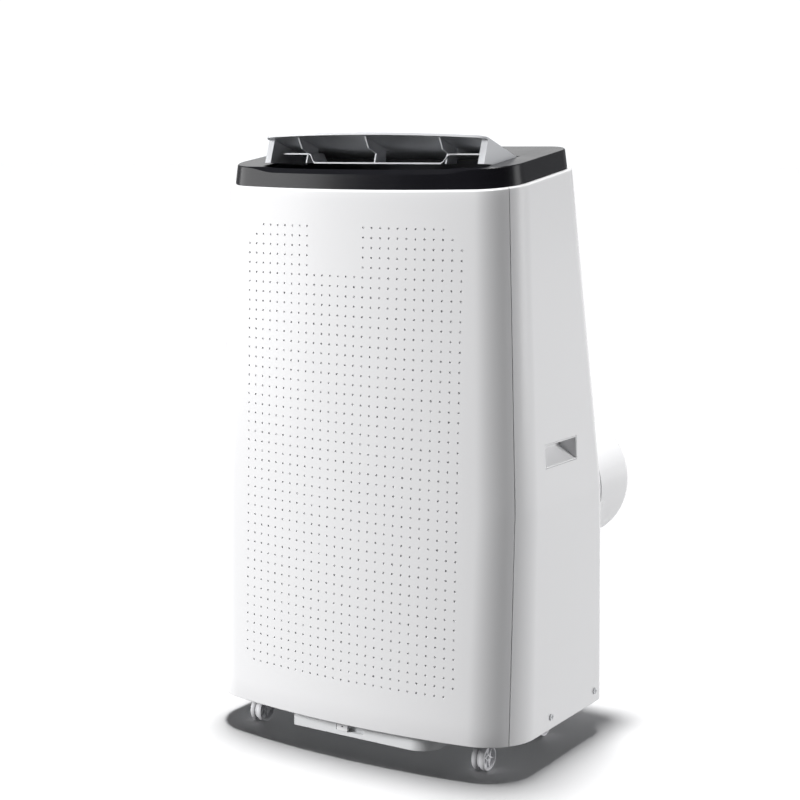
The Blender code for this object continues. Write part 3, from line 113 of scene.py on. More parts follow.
class Paint:
    """A Principled material. Its textures run on object coordinates, in metres."""

    def __init__(self, name, **sockets):
        self.material = bpy.data.materials.new(name)
        self.material.use_nodes = True
        self.tree = self.material.node_tree
        self.shader = self.tree.nodes["Principled BSDF"]
        self.place = self.node("ShaderNodeTexCoord").outputs["Object"]
        for socket, value in sockets.items():
            self.shader.inputs[socket.replace("_", " ")].default_value = value

    def node(self, kind, **settings):
        made = self.tree.nodes.new(kind)
        for key, value in settings.items():
            setattr(made, key, value)
        return made

    def link(self, source, target):
        self.tree.links.new(source, target)

    def stretched(self, scale):
        mapping = self.node("ShaderNodeMapping")
        mapping.inputs["Scale"].default_value = scale
        self.link(self.place, mapping.inputs["Vector"])
        return mapping.outputs["Vector"]

    def noise(self, scale, detail=2.0, roughness=0.5, stretch=None):
        made = self.node("ShaderNodeTexNoise")
        made.inputs["Scale"].default_value = scale
        made.inputs["Detail"].default_value = detail
        made.inputs["Roughness"].default_value = roughness
        self.link(self.stretched(stretch) if stretch else self.place, made.inputs["Vector"])
        return made.outputs["Fac"]

    def cells(self, scale, feature="F1"):
        made = self.node("ShaderNodeTexVoronoi", feature=feature)
        made.inputs["Scale"].default_value = scale
        self.link(self.place, made.inputs["Vector"])
        return made.outputs["Distance"]

    def bands(self, axis, period):
        """Parallel bands across an axis, one each period."""
        made = self.node(
            "ShaderNodeTexWave", wave_type="BANDS", bands_direction=axis, wave_profile="SIN"
        )
        made.inputs["Scale"].default_value = WAVE_LENGTH / period
        self.link(self.place, made.inputs["Vector"])
        return made.outputs["Fac"]

    def to_range(self, value, low, high, start=0.0, end=1.0):
        made = self.node("ShaderNodeMapRange")
        set_range(made, start, end, low, high)
        self.link(value, made.inputs["Value"])
        return made.outputs["Result"]

    def math(self, operation, a, b):
        made = self.node("ShaderNodeMath", operation=operation)
        for socket, value in zip(made.inputs, (a, b)):
            if isinstance(value, (int, float)):
                socket.default_value = value
            else:
                self.link(value, socket)
        return made.outputs["Value"]

    def blend(self, factor, dark, light):
        """A colour between two, by a factor."""
        made = self.node("ShaderNodeMix", data_type="RGBA")
        self.link(factor, made.inputs["Factor"])
        colours = [socket for socket in made.inputs if socket.type == "RGBA"]
        for socket, colour in zip(colours, (dark, light)):
            if isinstance(colour, tuple):
                socket.default_value = (*colour, 1.0)
            else:
                self.link(colour, socket)
        return next(socket for socket in made.outputs if socket.type == "RGBA")

    def colour(self, value):
        self.link(value, self.shader.inputs["Base Color"])

    def roughness(self, value):
        self.link(value, self.shader.inputs["Roughness"])

    def bump(self, *layers):
        """Each layer is (height, strength, distance)."""
        normal = None
        for height, strength, distance in layers:
            made = self.node("ShaderNodeBump")
            made.inputs["Strength"].default_value = strength
            made.inputs["Distance"].default_value = distance
            self.link(height, made.inputs["Height"])
            if normal:
                self.link(normal, made.inputs["Normal"])
            normal = made.outputs["Normal"]
        self.link(normal, self.shader.inputs["Normal"])


def shade(colour, factor):
    return tuple(min(c * factor, 1.0) for c in colour)


def plastic(
    name, colour, roughness, grain=900.0, grain_depth=0.00003, variation=0.03, wave=0.0012, marks=0.1,
    **sockets,
):
    """Moulded plastic: a fine spark-eroded grain, slow waves, faint dust and handling marks."""
    paint = Paint(name, **sockets)
    cloud = paint.noise(7.0, 4.0, 0.6)
    specks = paint.noise(260.0, 3.0, 0.7)
    tint = paint.math("ADD", paint.math("MULTIPLY", cloud, 0.75), paint.math("MULTIPLY", specks, 0.25))
    paint.colour(paint.blend(tint, shade(colour, 1 - variation), shade(colour, 1 + variation)))
    smudge = paint.noise(23.0, 6.0, 0.65)
    paint.roughness(paint.to_range(smudge, roughness * (1 - marks), roughness * (1 + marks), 0.3, 0.7))
    paint.bump(
        (paint.noise(grain, 2.0), 0.35, grain_depth),
        (paint.noise(14.0, 1.0), 0.25, wave),
    )
    return paint.material


def metal(name, colour, roughness, stretch=(1.0, 1.0, 1.0), scale=500.0, variation=0.12):
    """Bare or plated metal: drawn or turned marks along the stretched axis, stains, and uneven polish."""
    paint = Paint(name, Metallic=1.0)
    marks = paint.noise(scale, 3.0, 0.6, stretch)
    stains = paint.noise(30.0, 5.0, 0.6)
    tint = paint.math("ADD", paint.math("MULTIPLY", marks, 0.4), paint.math("MULTIPLY", stains, 0.6))
    paint.colour(paint.blend(tint, shade(colour, 1 - variation), shade(colour, 1 + variation)))
    paint.roughness(paint.to_range(marks, roughness * 0.75, roughness * 1.35, 0.3, 0.7))
    paint.bump((marks, 0.25, 0.00003), (stains, 0.1, 0.0002))
    return paint.material


def painted_can(name, colour, roughness):
    """Thick paint on pressed steel, with a hammered skin, runs and dusty patches."""
    paint = Paint(name, Coat_Weight=0.3, Coat_Roughness=0.25)
    dust = paint.noise(18.0, 6.0, 0.7)
    paint.colour(paint.blend(paint.to_range(dust, 0.0, 1.0, 0.45, 0.8), colour, shade(colour, 2.4)))
    paint.roughness(paint.to_range(dust, roughness * 0.8, roughness * 1.5, 0.3, 0.8))
    paint.bump((paint.cells(220.0), 0.25, 0.0002), (paint.noise(9.0, 1.0), 0.2, 0.0015))
    return paint.material


def fins(name, axis):
    """A coil's face: thin aluminium fins side by side, bright fins with painted shade in the dark gaps
    between them, and a few dents.
    """
    paint = Paint(name, Metallic=1.0)
    bands = paint.bands(axis, 0.0018)
    dents = paint.noise(60.0, 3.0)
    # Painted shade: the dark colour stands for the shaded gaps between the fins, and the dents noise varies
    # it.
    dark = paint.blend(dents, (0.10, 0.11, 0.12), (0.22, 0.23, 0.24))
    paint.colour(paint.blend(paint.to_range(bands, 0.0, 1.0, 0.25, 0.6), dark, (0.80, 0.81, 0.82)))
    paint.roughness(paint.to_range(dents, 0.30, 0.55, 0.3, 0.7))
    paint.bump((bands, 0.8, 0.0012), (dents, 0.3, 0.0008))
    return paint.material


def foam(name, colour):
    """Expanded bead foam: fused beads with dark seams between them."""
    paint = Paint(name)
    seams = paint.cells(240.0, "DISTANCE_TO_EDGE")
    paint.colour(paint.blend(paint.to_range(seams, 0.0, 1.0, 0.0, 0.18), shade(colour, 0.72), colour))
    paint.roughness(paint.to_range(paint.noise(90.0, 3.0), 0.7, 0.95))
    paint.bump((seams, 0.5, 0.0010), (paint.noise(500.0), 0.2, 0.0002))
    return paint.material


def circuit_board(name):
    """Solder mask over copper tracks that run in two directions."""
    paint = Paint(name, Coat_Weight=0.5, Coat_Roughness=0.15)
    tracks = paint.math("MAXIMUM", paint.bands("X", 0.0041), paint.bands("Y", 0.0067))
    raised = paint.to_range(tracks, 0.0, 1.0, 0.86, 0.92)
    paint.colour(paint.blend(raised, (0.010, 0.09, 0.035), (0.03, 0.20, 0.08)))
    paint.roughness(paint.to_range(paint.noise(80.0, 4.0), 0.3, 0.5))
    paint.bump((raised, 0.5, 0.0001))
    return paint.material


def rubber(name, colour):
    """Matt rubber with a dusty bloom."""
    roughness = 0.7
    paint = Paint(name)
    bloom = paint.noise(34.0, 6.0, 0.7)
    paint.colour(paint.blend(bloom, shade(colour, 0.8), shade(colour, 1.7)))
    paint.roughness(paint.to_range(bloom, roughness * 0.85, roughness * 1.2, 0.3, 0.7))
    paint.bump((paint.noise(1500.0, 2.0), 0.4, 0.00005), (paint.noise(60.0, 2.0), 0.2, 0.0003))
    return paint.material


MATERIALS = {
    "gloss_white": plastic(
        "white_gloss_plastic", (0.83, 0.83, 0.84), 0.26,
        grain=700.0, grain_depth=0.000010, variation=0.005, wave=0.0001, marks=0.02,
        Coat_Weight=0.12, Coat_Roughness=0.12, Specular_IOR_Level=0.35,
    ),
    "gloss_dark_grey": plastic(
        "deck_gloss_plastic", (0.005, 0.005, 0.007), 0.24,
        grain=600.0, grain_depth=0.00001, variation=0.2, wave=0.0003,
    ),
    "light_grey": plastic(
        "louvre_plastic", (0.60, 0.61, 0.63), 0.30,
        grain=800.0, grain_depth=0.00002, variation=0.02, Coat_Weight=0.3, Coat_Roughness=0.12,
    ),
    "outlet_dark": plastic(
        "outlet_plastic", (0.020, 0.021, 0.024), 0.55, grain=500.0, grain_depth=0.00008, variation=0.2
    ),
    "panel_black": plastic(
        "panel_plastic", (0.006, 0.006, 0.008), 0.12,
        variation=0.2, Coat_Weight=1.0, Coat_Roughness=0.03,
    ),
    "display_black": plastic(
        "display_plastic", (0.002, 0.0025, 0.003), 0.06,
        variation=0.3, Coat_Weight=1.0, Coat_Roughness=0.02,
    ),
    "button_grey": plastic("key_plastic", (0.075, 0.075, 0.080), 0.38, grain=1200.0, variation=0.08),
    "circuit_board": circuit_board("board_solder_mask"),
    "base_grey": plastic(
        "base_plastic", (0.74, 0.75, 0.76), 0.40, grain=600.0, grain_depth=0.00006, variation=0.02
    ),
    "filter_white": plastic(
        "grille_plastic", (0.82, 0.82, 0.83), 0.36, grain=800.0, grain_depth=0.00005, variation=0.015
    ),
    "rubber_black": rubber("black_rubber", (0.016, 0.016, 0.016)),
    "castor_white": plastic("castor_plastic", (0.62, 0.62, 0.64), 0.38, grain=900.0, variation=0.03),
    "wheel_grey": plastic(
        "wheel_plastic", (0.66, 0.66, 0.68), 0.45, grain=500.0, grain_depth=0.00008, variation=0.05
    ),
    "steel": metal("plated_steel", (0.58, 0.59, 0.60), 0.28, scale=800.0),
    "painted_black": painted_can("compressor_paint", (0.018, 0.018, 0.019), 0.38),
    "aluminium_fins": fins("coil_fins", "X"),
    "copper": metal("drawn_copper", (0.78, 0.36, 0.20), 0.26, stretch=(1.0, 1.0, 0.08)),
    "fan_grey": plastic("fan_plastic", (0.11, 0.115, 0.12), 0.50, grain=700.0, variation=0.1),
    "motor_grey": metal(
        "zinc_can", (0.42, 0.43, 0.44), 0.42, stretch=(0.2, 1.0, 1.0), scale=300.0, variation=0.2
    ),
    "duct_foam": foam("bead_foam", (0.78, 0.79, 0.80)),
}


def dress(obj, slot):
    obj.data.materials.clear()
    obj.data.materials.append(MATERIALS[slot])


SLOT_OF = {entry["node"]: entry["material_slot"] for entry in frame["record"]["subparts"]}
BODIES = frame["record"]["behaviour"]["bodies"]
BODY_OF = {node: body for body, members in BODIES.items() for node in members}
for name, obj in nodes.items():
    dress(obj, SLOT_OF[name])


# Making pieces


def piece(name, bm, slot, body, replaced=(), smooth=35.0):
    """Turn a bmesh into a piece that rides on a body and may stand for CAD nodes."""
    mesh = bpy.data.meshes.new(name)
    bm.to_mesh(mesh)
    bm.free()
    obj = bpy.data.objects.new(name, mesh)
    bpy.context.scene.collection.objects.link(obj)
    mesh.shade_smooth()
    mesh.set_sharp_from_angle(angle=math.radians(smooth))
    dress(obj, slot)
    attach(obj, body)
    if replaced:
        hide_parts(*replaced)
    return obj


def soften(obj, width, angle=30.0, segments=2):
    """Round the edges, and keep flat faces flat."""
    bevel = obj.modifiers.new("bevel", "BEVEL")
    bevel.width = width
    bevel.segments = segments
    bevel.limit_method = "ANGLE"
    bevel.angle_limit = math.radians(angle)
    bevel.harden_normals = False
    bevel.miter_outer = "MITER_ARC"
    normals = obj.modifiers.new("normals", "WEIGHTED_NORMAL")
    normals.keep_sharp = False
    normals.weight = 100
    return obj


def cutter(name, bm):
    """A solid that carve() cuts with and then removes."""
    mesh = bpy.data.meshes.new(name)
    bmesh.ops.recalc_face_normals(bm, faces=bm.faces)
    bm.to_mesh(mesh)
    bm.free()
    obj = bpy.data.objects.new(name, mesh)
    bpy.context.scene.collection.objects.link(obj)
    return obj


def carve(obj, *tools):
    """Cut solids out of a piece, and apply the cuts."""
    for tool in tools:
        cut = obj.modifiers.new("cut", "BOOLEAN")
        cut.operation = "DIFFERENCE"
        cut.solver = "EXACT"
        cut.object = tool
    graph = bpy.context.evaluated_depsgraph_get()
    graph.update()
    made = bpy.data.meshes.new_from_object(obj.evaluated_get(graph))
    obj.modifiers.clear()
    obj.data = made
    for tool in tools:
        bpy.data.objects.remove(tool, do_unlink=True)
    return obj


def loft(rows, around=False, wrap=False):
    """Faces between rows of points. Around closes each row, and wrap joins the last row to the first."""
    bm = bmesh.new()
    grid = [[bm.verts.new(point) for point in row] for row in rows]
    columns = len(rows[0])
    for i in range(len(rows) if wrap else len(rows) - 1):
        low, high = grid[i], grid[(i + 1) % len(rows)]
        for j in range(columns if around else columns - 1):
            k = (j + 1) % columns
            bm.faces.new((low[j], low[k], high[k], high[j]))
    if around and not wrap:
        bm.faces.new(grid[0][::-1])
        bm.faces.new(grid[-1])
    if wrap and not around:
        bm.faces.new([row[0] for row in grid])
        bm.faces.new([row[-1] for row in grid][::-1])
    bmesh.ops.recalc_face_normals(bm, faces=bm.faces)
    return bm


def box(low, high):
    (x0, y0, z0), (x1, y1, z1) = low, high
    corners = ((x0, y0), (x1, y0), (x1, y1), (x0, y1))
    return loft([[(x, y, z) for x, y in corners] for z in (z0, z1)], around=True)


def prism(outline, shift):
    """A solid between a flat outline and its copy, moved by shift."""
    return loft([outline, [Vector(point) + Vector(shift) for point in outline]], around=True)


def axes_round(axis):
    """The axis and two directions square to it."""
    along = Vector(axis)
    across = Vector((0.0, 0.0, 1.0)) if abs(along.z) < 0.5 else Vector((1.0, 0.0, 0.0))
    return along, across, along.cross(across)


def turned(profile, centre, axis, segments):
    """Turn a closed profile of (radius, along) round an axis."""
    along, across, other = axes_round(axis)
    rows = []
    for i in range(segments):
        turn = 2 * math.pi * i / segments
        spoke = across * math.cos(turn) + other * math.sin(turn)
        rows.append([Vector(centre) + spoke * r + along * h for r, h in profile])
    return loft(rows, around=True, wrap=True)


def rod(radius, start, length, axis, segments):
    along, across, other = axes_round(axis)
    ring = []
    for i in range(segments):
        turn = 2 * math.pi * (i + 0.5) / segments
        ring.append(Vector(start) + (across * math.cos(turn) + other * math.sin(turn)) * radius)
    return prism(ring, along * length)


def moved(bm, matrix):
    bmesh.ops.transform(bm, matrix=matrix, verts=bm.verts)
    return bm


def joined(parts):
    """One mesh from several closed shells."""
    whole = bmesh.new()
    for part in parts:
        mesh = bpy.data.meshes.new("part")
        part.to_mesh(mesh)
        part.free()
        whole.from_mesh(mesh)
        bpy.data.meshes.remove(mesh)
    return whole


def refined(node, width, angle=30.0, merged=True):
    """A CAD node's own shape with rounded edges. A pierced plate isn't merged: its facets stay apart."""
    bm = bmesh.new()
    bm.from_mesh(nodes[node].data)
    bmesh.ops.remove_doubles(bm, verts=bm.verts, dist=1e-6)
    if merged:
        bmesh.ops.dissolve_limit(bm, angle_limit=math.radians(0.5), verts=bm.verts, edges=bm.edges)
    return soften(piece(f"{node}_skin", bm, SLOT_OF[node], BODY_OF[node], (node,)), width, angle)


# The casing's outline and ruled walls


def bow(x):
    """How far the crowned front falls back at this X."""
    return BOW * (x / BOW_SPAN) ** 2


def casing_size(z, inset):
    """Half width, front, rear and the two corner radii at height z, this far inside the wall's face."""
    up = min((z - FOOT_Z) / (RIM_Z - FOOT_Z), 1.0)
    taper = min(max((z - WAIST_Z) / (RIM_Z - WAIST_Z), 0.0), 1.0)
    half = (WIDTH + (TOP_WIDTH - WIDTH) * taper) / 2 - inset
    front = FRONT_Y + LEAN * up + inset
    rear = REAR_Y - REAR_TAPER * taper - inset
    front_radius = FRONT_RADIUS + (TOP_FRONT_RADIUS - FRONT_RADIUS) * up - inset
    rear_radius = REAR_RADIUS + (TOP_REAR_RADIUS - REAR_RADIUS) * up - inset
    return half, front, rear, front_radius, rear_radius


def rim_height(y):
    return RIM_Z + RIM_TILT * (y - FRONT_Y - LEAN)


def corner_start(middle, radius):
    """The angle and the X at which the round corner leaves the bowed front without a kink."""
    x = middle
    for _ in range(4):
        angle = math.atan(2 * BOW * x / BOW_SPAN**2)
        x = middle + radius * math.sin(angle)
    return angle, x


def outline_point(stop, size):
    """A point of the outline. A stop is a kind of stretch, a side (-1 left, 1 right) and a place along it."""
    kind, side, t = stop
    half, front, rear, front_radius, rear_radius = size
    if kind == "x":
        return t, front + bow(t)
    start, x_end = corner_start(half - front_radius, front_radius)
    if kind == "front":
        return t * x_end, front + bow(t * x_end)
    if kind == "front_corner":
        turn = start + (t - CORNER_START) * (QUARTER - start) / (QUARTER - CORNER_START)
        x = half - front_radius + front_radius * math.sin(turn)
        return side * x, front + bow(x_end) + front_radius * (math.cos(start) - math.cos(turn))
    x = half - rear_radius + rear_radius * math.cos(t)
    return side * x, rear - rear_radius + rear_radius * math.sin(t)


def rim_point(stop, drop, inset):
    """A point this far below the tilted rim."""
    x, y = outline_point(stop, casing_size(RIM_Z, inset))
    return x, y, rim_height(y) - drop


def wall_point(stop, z, inset=0.0):
    """A point of the wall at height z, ruled from the foot to the waist and from there to the rim."""
    waist = Vector((*outline_point(stop, casing_size(WAIST_Z, inset)), WAIST_Z))
    if z <= WAIST_Z:
        end = Vector((*outline_point(stop, casing_size(FOOT_Z, inset)), FOOT_Z))
    else:
        end = Vector(rim_point(stop, 0.0, inset))
    point = waist.lerp(end, (z - WAIST_Z) / (end.z - WAIST_Z))
    return point.x, point.y, z


def shell_rows(levels):
    """Rows of the wall, each a function of a stop: up from the foot, round the rim and down inside."""

    def at_foot(turn):
        rise, inset = FOOT_ROUND * (1 - math.cos(turn)), FOOT_ROUND * (1 - math.sin(turn))
        return lambda stop: wall_point(stop, FOOT_Z + rise, inset)

    def at_level(z):
        return lambda stop: wall_point(stop, z)

    def below_rim(share):
        def row(stop):
            top = rim_point(stop, RIM_ROUND, 0)[2]
            return wall_point(stop, levels[-1] + share * (top - levels[-1]))

        return row

    def at_rim(drop, inset):
        return lambda stop: rim_point(stop, drop, inset)

    rows = [at_foot(turn) for turn in spread(0.0, QUARTER, FOOT_STEPS + 1)[:-1]]
    rows += [at_level(z) for z in levels]
    rows += [below_rim(share) for share in (0.33, 0.66)]
    for turn in spread(0.0, QUARTER, RIM_STEPS + 1):
        rows.append(at_rim(RIM_ROUND * (1 - math.sin(turn)), RIM_ROUND * (1 - math.cos(turn))))
    return rows + [at_rim(0.0, RIM_LEDGE), at_rim(WALL, RIM_LEDGE)]


# Front cover, with its dot holes


def dot_here(column, row):
    """Whether the grid has a hole here. Its corners are cut off, and a patch near the top is plain."""
    ends = {0: 1, 1: 0, DOT_ROWS - 2: 1, DOT_ROWS - 1: 2}.get(row, 0)
    if abs(column) > DOT_COLUMNS - ends:
        return False
    low, high = BLANK_COLUMNS
    return not (row >= DOT_ROWS - BLANK_ROWS and low <= column <= high)


def dot_hole(bm, edge, centre):
    """A blind round hole with a small lip, inside a ring of eight vertices."""
    slope = (edge[5].co - edge[1].co).normalized()
    across = (edge[3].co - edge[7].co).normalized()
    inward = slope.cross(across)
    inward = inward if inward.y > 0 else -inward
    loops = [edge]
    for radius, depth in ((DOT_RADIUS + DOT_LIP, 0.0), (DOT_RADIUS, DOT_LIP), (DOT_RADIUS, DOT_DEPTH)):
        loop = []
        for k in range(8):
            turn = math.radians(225 + 45 * k)
            spoke = across * math.cos(turn) + slope * math.sin(turn)
            loop.append(bm.verts.new(centre + spoke * radius + inward * depth))
        loops.append(loop)
    for outer, inner in zip(loops, loops[1:]):
        for k in range(8):
            n = (k + 1) % 8
            bm.faces.new((outer[k], outer[n], inner[n], inner[k]))
    bm.faces.new(loops[-1])


def front_cover():
    """The wall between the seams, on a grid with two cells to each dot's pitch."""
    first = DOT_MIDDLE - DOT_ROWS / 2 * DOT_PITCH
    levels = [FOOT_Z + FOOT_ROUND, LOW_LEVEL]
    rows = shell_rows(levels + [first + i * DOT_PITCH / 2 for i in range(2 * DOT_ROWS + 1)])
    gap_angle = math.asin(SEAM_GAP / 2 / TOP_FRONT_RADIUS)
    arc = spread(CORNER_START, SEAM_ANGLE - gap_angle, 13)
    left = [("front_corner", -1, t) for t in reversed(arc)]
    right = [("front_corner", 1, t) for t in arc]
    xs = [(i - 2 * DOT_COLUMNS - 1) * DOT_PITCH / 2 for i in range(4 * DOT_COLUMNS + 3)]
    stops = left + [("x", 0, x) for x in xs] + right
    bm = bmesh.new()
    grid = [[bm.verts.new(row(stop)) for stop in stops] for row in rows]
    base, offset = FOOT_STEPS + len(levels), len(left)
    holes = [
        (base + 2 * j, offset + 2 * i)
        for j in range(DOT_ROWS)
        for i in range(2 * DOT_COLUMNS + 1)
        if dot_here(i - DOT_COLUMNS, j)
    ]
    skipped = {(r + a, c + b) for r, c in holes for a in (0, 1) for b in (0, 1)}
    for r in range(len(rows) - 1):
        for c in range(len(stops) - 1):
            if (r, c) not in skipped:
                bm.faces.new((grid[r][c], grid[r][c + 1], grid[r + 1][c + 1], grid[r + 1][c]))
    around = ((0, 0), (0, 1), (0, 2), (1, 2), (2, 2), (2, 1), (2, 0), (1, 0))
    for r, c in holes:
        middle = grid[r + 1][c + 1]
        centre = middle.co.copy()
        bm.verts.remove(middle)
        dot_hole(bm, [grid[r + a][c + b] for a, b in around], centre)
    for column, stop in ((0, stops[0]), (-1, stops[-1])):
        back = [bm.verts.new(wall_point(stop, row[column].co.z, SEAM_DEPTH)) for row in grid[:-2]]
        for k in range(len(back) - 1):
            bm.faces.new((grid[k][column], grid[k + 1][column], back[k + 1], back[k]))
    bmesh.ops.recalc_face_normals(bm, faces=bm.faces)
    return piece("front_cover", bm, "gloss_white", "cabinet", ("front_panel",), smooth=40.0)


front_cover()


# Rear cabinet: sides and back in one shell, pierced for the handles, intakes, port, drain and cord


def rear_frame(z):
    """Matrix of the rear face at height z: X along the width, Z up the wall, Y outward."""
    rear = casing_size(z, 0.0)[2]
    angle = math.atan2(REAR_TAPER, RIM_Z - WAIST_Z) if z > WAIST_Z else 0.0
    return Matrix.Translation((0.0, rear, z)) @ Matrix.Rotation(angle, 4, "X")


def intake_hole(intake):
    left, right, low, high = intake
    length = (high - low) * (math.hypot(1.0, REAR_TAPER / (RIM_Z - WAIST_Z)) if low > WAIST_Z else 1.0)
    half = (right - left) / 2
    middle = rear_frame(low) @ Matrix.Translation(((left + right) / 2, 0.0, 0.0))
    return moved(box((-half, -THROUGH, 0.0), (half, THROUGH, length)), middle)


def handle_hole(side):
    """A straight cut through the side, from inside the wall outward."""
    start, reach = 0.16, 0.08
    low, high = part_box("handle_cup_right" if side > 0 else "handle_cup_left")
    corners = (
        (low.y - GAP, low.z - GAP), (high.y + GAP, low.z - GAP),
        (high.y + GAP, high.z + GAP), (low.y - GAP, high.z + GAP),
    )
    return prism([(side * start, y, z) for y, z in corners], (side * reach, 0.0, 0.0))


def rear_bore(radius, x, z, sides):
    return rod(radius, (x, REAR_Y - THROUGH, z), 2 * THROUGH, (0.0, 1.0, 0.0), sides)


def rear_cabinet():
    gap_angle = math.asin(SEAM_GAP / 2 / TOP_FRONT_RADIUS)
    flank = spread(SEAM_ANGLE + gap_angle, QUARTER, 9)
    corner = spread(0.0, QUARTER, 13)
    right = [("front_corner", 1, t) for t in flank] + [("rear_corner", 1, t) for t in corner]
    left = [(kind, -1, t) for kind, _, t in reversed(right)]
    stops = right + left
    levels = [FOOT_Z + FOOT_ROUND, WAIST_Z - WAIST_EASE, WAIST_Z, WAIST_Z + WAIST_EASE, TOP_LEVEL]
    grid = [[row(stop) for stop in stops] for row in shell_rows(levels)]
    grid.append([wall_point(stop, WAIST_Z, WALL) for stop in stops])
    grid.append([wall_point(stop, FOOT_Z, WALL) for stop in stops])
    shell = piece("rear_shell", loft(grid, wrap=True), "gloss_white", "cabinet", ("rear_cabinet",))
    start = casing_size(PORT[1] + PORT_RADIUS, WALL)[2] + PORT_PROUD
    reach = REAR_Y + PORT_PROUD - start
    port = cutter("port", rod(PORT_RADIUS, (PORT[0], start, PORT[1]), reach, (0.0, 1.0, 0.0), PORT_SIDES))
    union = shell.modifiers.new("port", "BOOLEAN")
    union.operation, union.solver, union.object = "UNION", "EXACT", port
    tools = [
        cutter("upper", intake_hole(UPPER_INTAKE)),
        cutter("lower", intake_hole(LOWER_INTAKE)),
        cutter("bore", rear_bore(SPIGOT_RADIUS + GAP, PORT[0], PORT[1], PORT_SIDES)),
        cutter("grip_left", handle_hole(-1)),
        cutter("grip_right", handle_hole(1)),
    ]
    for name, radius in (("rear_drain_cap", DRAIN_BORE), ("cord_gland", CORD_BORE)):
        low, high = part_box(name)
        centre = (low + high) / 2
        tools.append(cutter(name, rear_bore(radius, centre.x, centre.z, BORE_SIDES)))
    carve(shell, *tools)
    bpy.data.objects.remove(port, do_unlink=True)
    shell.data.shade_smooth()
    shell.data.set_sharp_from_angle(angle=math.radians(30))
    soften(shell, 0.0004, angle=40.0, segments=2)


rear_cabinet()


# Deck


def brow(stop):
    """How far the deck's edge is bevelled here: deep in front of the outlet, a crisp edge elsewhere."""
    if stop[0] != "front":
        return DECK_EDGE
    x = abs(outline_point(stop, casing_size(RIM_Z, DECK_INSET))[0])
    fade = min(max((x - BROW_HALF) / BROW_FADE, 0.0), 1.0)
    return DECK_BROW + (DECK_EDGE - DECK_BROW) * fade * fade * (3 - 2 * fade)


def deck_height(y):
    return rim_height(y) + DECK_HEIGHT


def deck_frame(x, y):
    """Matrix on the deck's top face: X along the width, Y up the slope, Z outward."""
    return Matrix.Translation((x, y, deck_height(y))) @ Matrix.Rotation(math.atan(RIM_TILT), 4, "X")


def outlet_corners():
    low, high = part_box("outlet_duct")
    return low.x + DUCT_LIP, high.x - DUCT_LIP, high.y - DUCT_LIP


def deck():
    corner = spread(0.0, QUARTER, 13)
    turn = spread(CORNER_START, QUARTER, 12)
    stops = [("front_corner", -1, t) for t in reversed(turn)]
    stops += [("front", 0, t) for t in spread(-1.0, 1.0, 41)[1:-1]]
    stops += [("front_corner", 1, t) for t in turn]
    stops += [("rear_corner", 1, t) for t in corner]
    stops += [("rear_corner", -1, t) for t in reversed(corner)]
    side = DECK_INSET + DECK_DRAFT
    inner = DECK_INSET + WALL

    def rim(rise, inset):
        return [rim_point(stop, -rise, inset) for stop in stops]

    rows = [
        rim(DECK_HEIGHT - DECK_PLATE, side + DECK_BROW + DECK_PLATE),
        rim(DECK_HEIGHT - DECK_BROW - DECK_PLATE, inner + DECK_DRAFT),
        rim(GAP, inner),
        rim(GAP, DECK_INSET),
        [rim_point(stop, -(DECK_HEIGHT - brow(stop)), side) for stop in stops],
        [rim_point(stop, -DECK_HEIGHT, side + brow(stop)) for stop in stops],
    ]
    top = piece("deck_cover", loft(rows, around=True), "gloss_dark_grey", "cabinet", ("top_deck",))
    left, right, rear = outlet_corners()
    across, back = OUTLET_BEVEL
    outline = [(left, OUTLET_FRONT + bow(left) + back)]
    outline += [(x, OUTLET_FRONT + bow(x)) for x in spread(left + across, right - across, 33)]
    outline += [(right, OUTLET_FRONT + bow(right) + back), (right, rear), (left, rear)]
    hole = prism([(x, y, CUT_FLOOR) for x, y in outline], (0.0, 0.0, CUT_HEIGHT))
    low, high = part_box("control_panel")
    middle = (low + high) / 2
    half = (high.x - low.x) / 2 + GAP
    length = (high.y - low.y) / 2 / math.cos(math.atan(RIM_TILT)) + GAP
    slot = moved(box((-half, -length, -THROUGH), (half, length, THROUGH)), deck_frame(middle.x, middle.y))
    carve(top, cutter("outlet", hole), cutter("panel", slot))
    top.data.shade_smooth()
    top.data.set_sharp_from_angle(angle=math.radians(28))
    soften(top, 0.0005, angle=28.0, segments=3)


deck()


# Hose collar, turned fine, with the ribs that grip the hose inside


def hose_collar():
    front, tail, crown, lip, chamfer = 0.0013, -0.0270, 0.0140, 0.0610, 0.0006
    rib_step, rib_depth, rib_slope, rib_end, rib_length = 0.0090, 0.0016, 0.0012, 0.0062, 0.0074
    edge = 0.0008
    start = COLLAR_REACH - crown
    profile = [(SPIGOT_RADIUS, tail), (SPIGOT_RADIUS, front), (COLLAR_RADIUS - edge, front)]
    profile += [(COLLAR_RADIUS, front + edge), (COLLAR_RADIUS, start / 2), (COLLAR_RADIUS, start)]
    for turn in spread(0.0, QUARTER, 13)[1:]:
        profile.append((COLLAR_RADIUS - crown * (1 - math.cos(turn)), start + crown * math.sin(turn)))
    profile += [(lip + chamfer, COLLAR_REACH), (lip, COLLAR_REACH - chamfer)]
    for i in range(6):
        at = COLLAR_REACH - 0.0080 - i * rib_step
        profile += [(lip, at), (lip + rib_depth, at - rib_slope)]
        profile += [(lip + rib_depth, at - rib_end), (lip, at - rib_length)]
    profile.append((lip, tail))
    bm = turned(profile, (PORT[0], REAR_Y, PORT[1]), (0.0, 1.0, 0.0), 144)
    piece("collar_shell", bm, "gloss_white", "hose_collar", ("hose_connector",), smooth=32.0)


hose_collar()


# Louvre


for name in ("louvre_flap", "louvre_vanes"):
    refined(name, 0.00045, 32.0)


# Sump, pan, plug, cups, panel and ducts: the CAD shapes with rounded edges


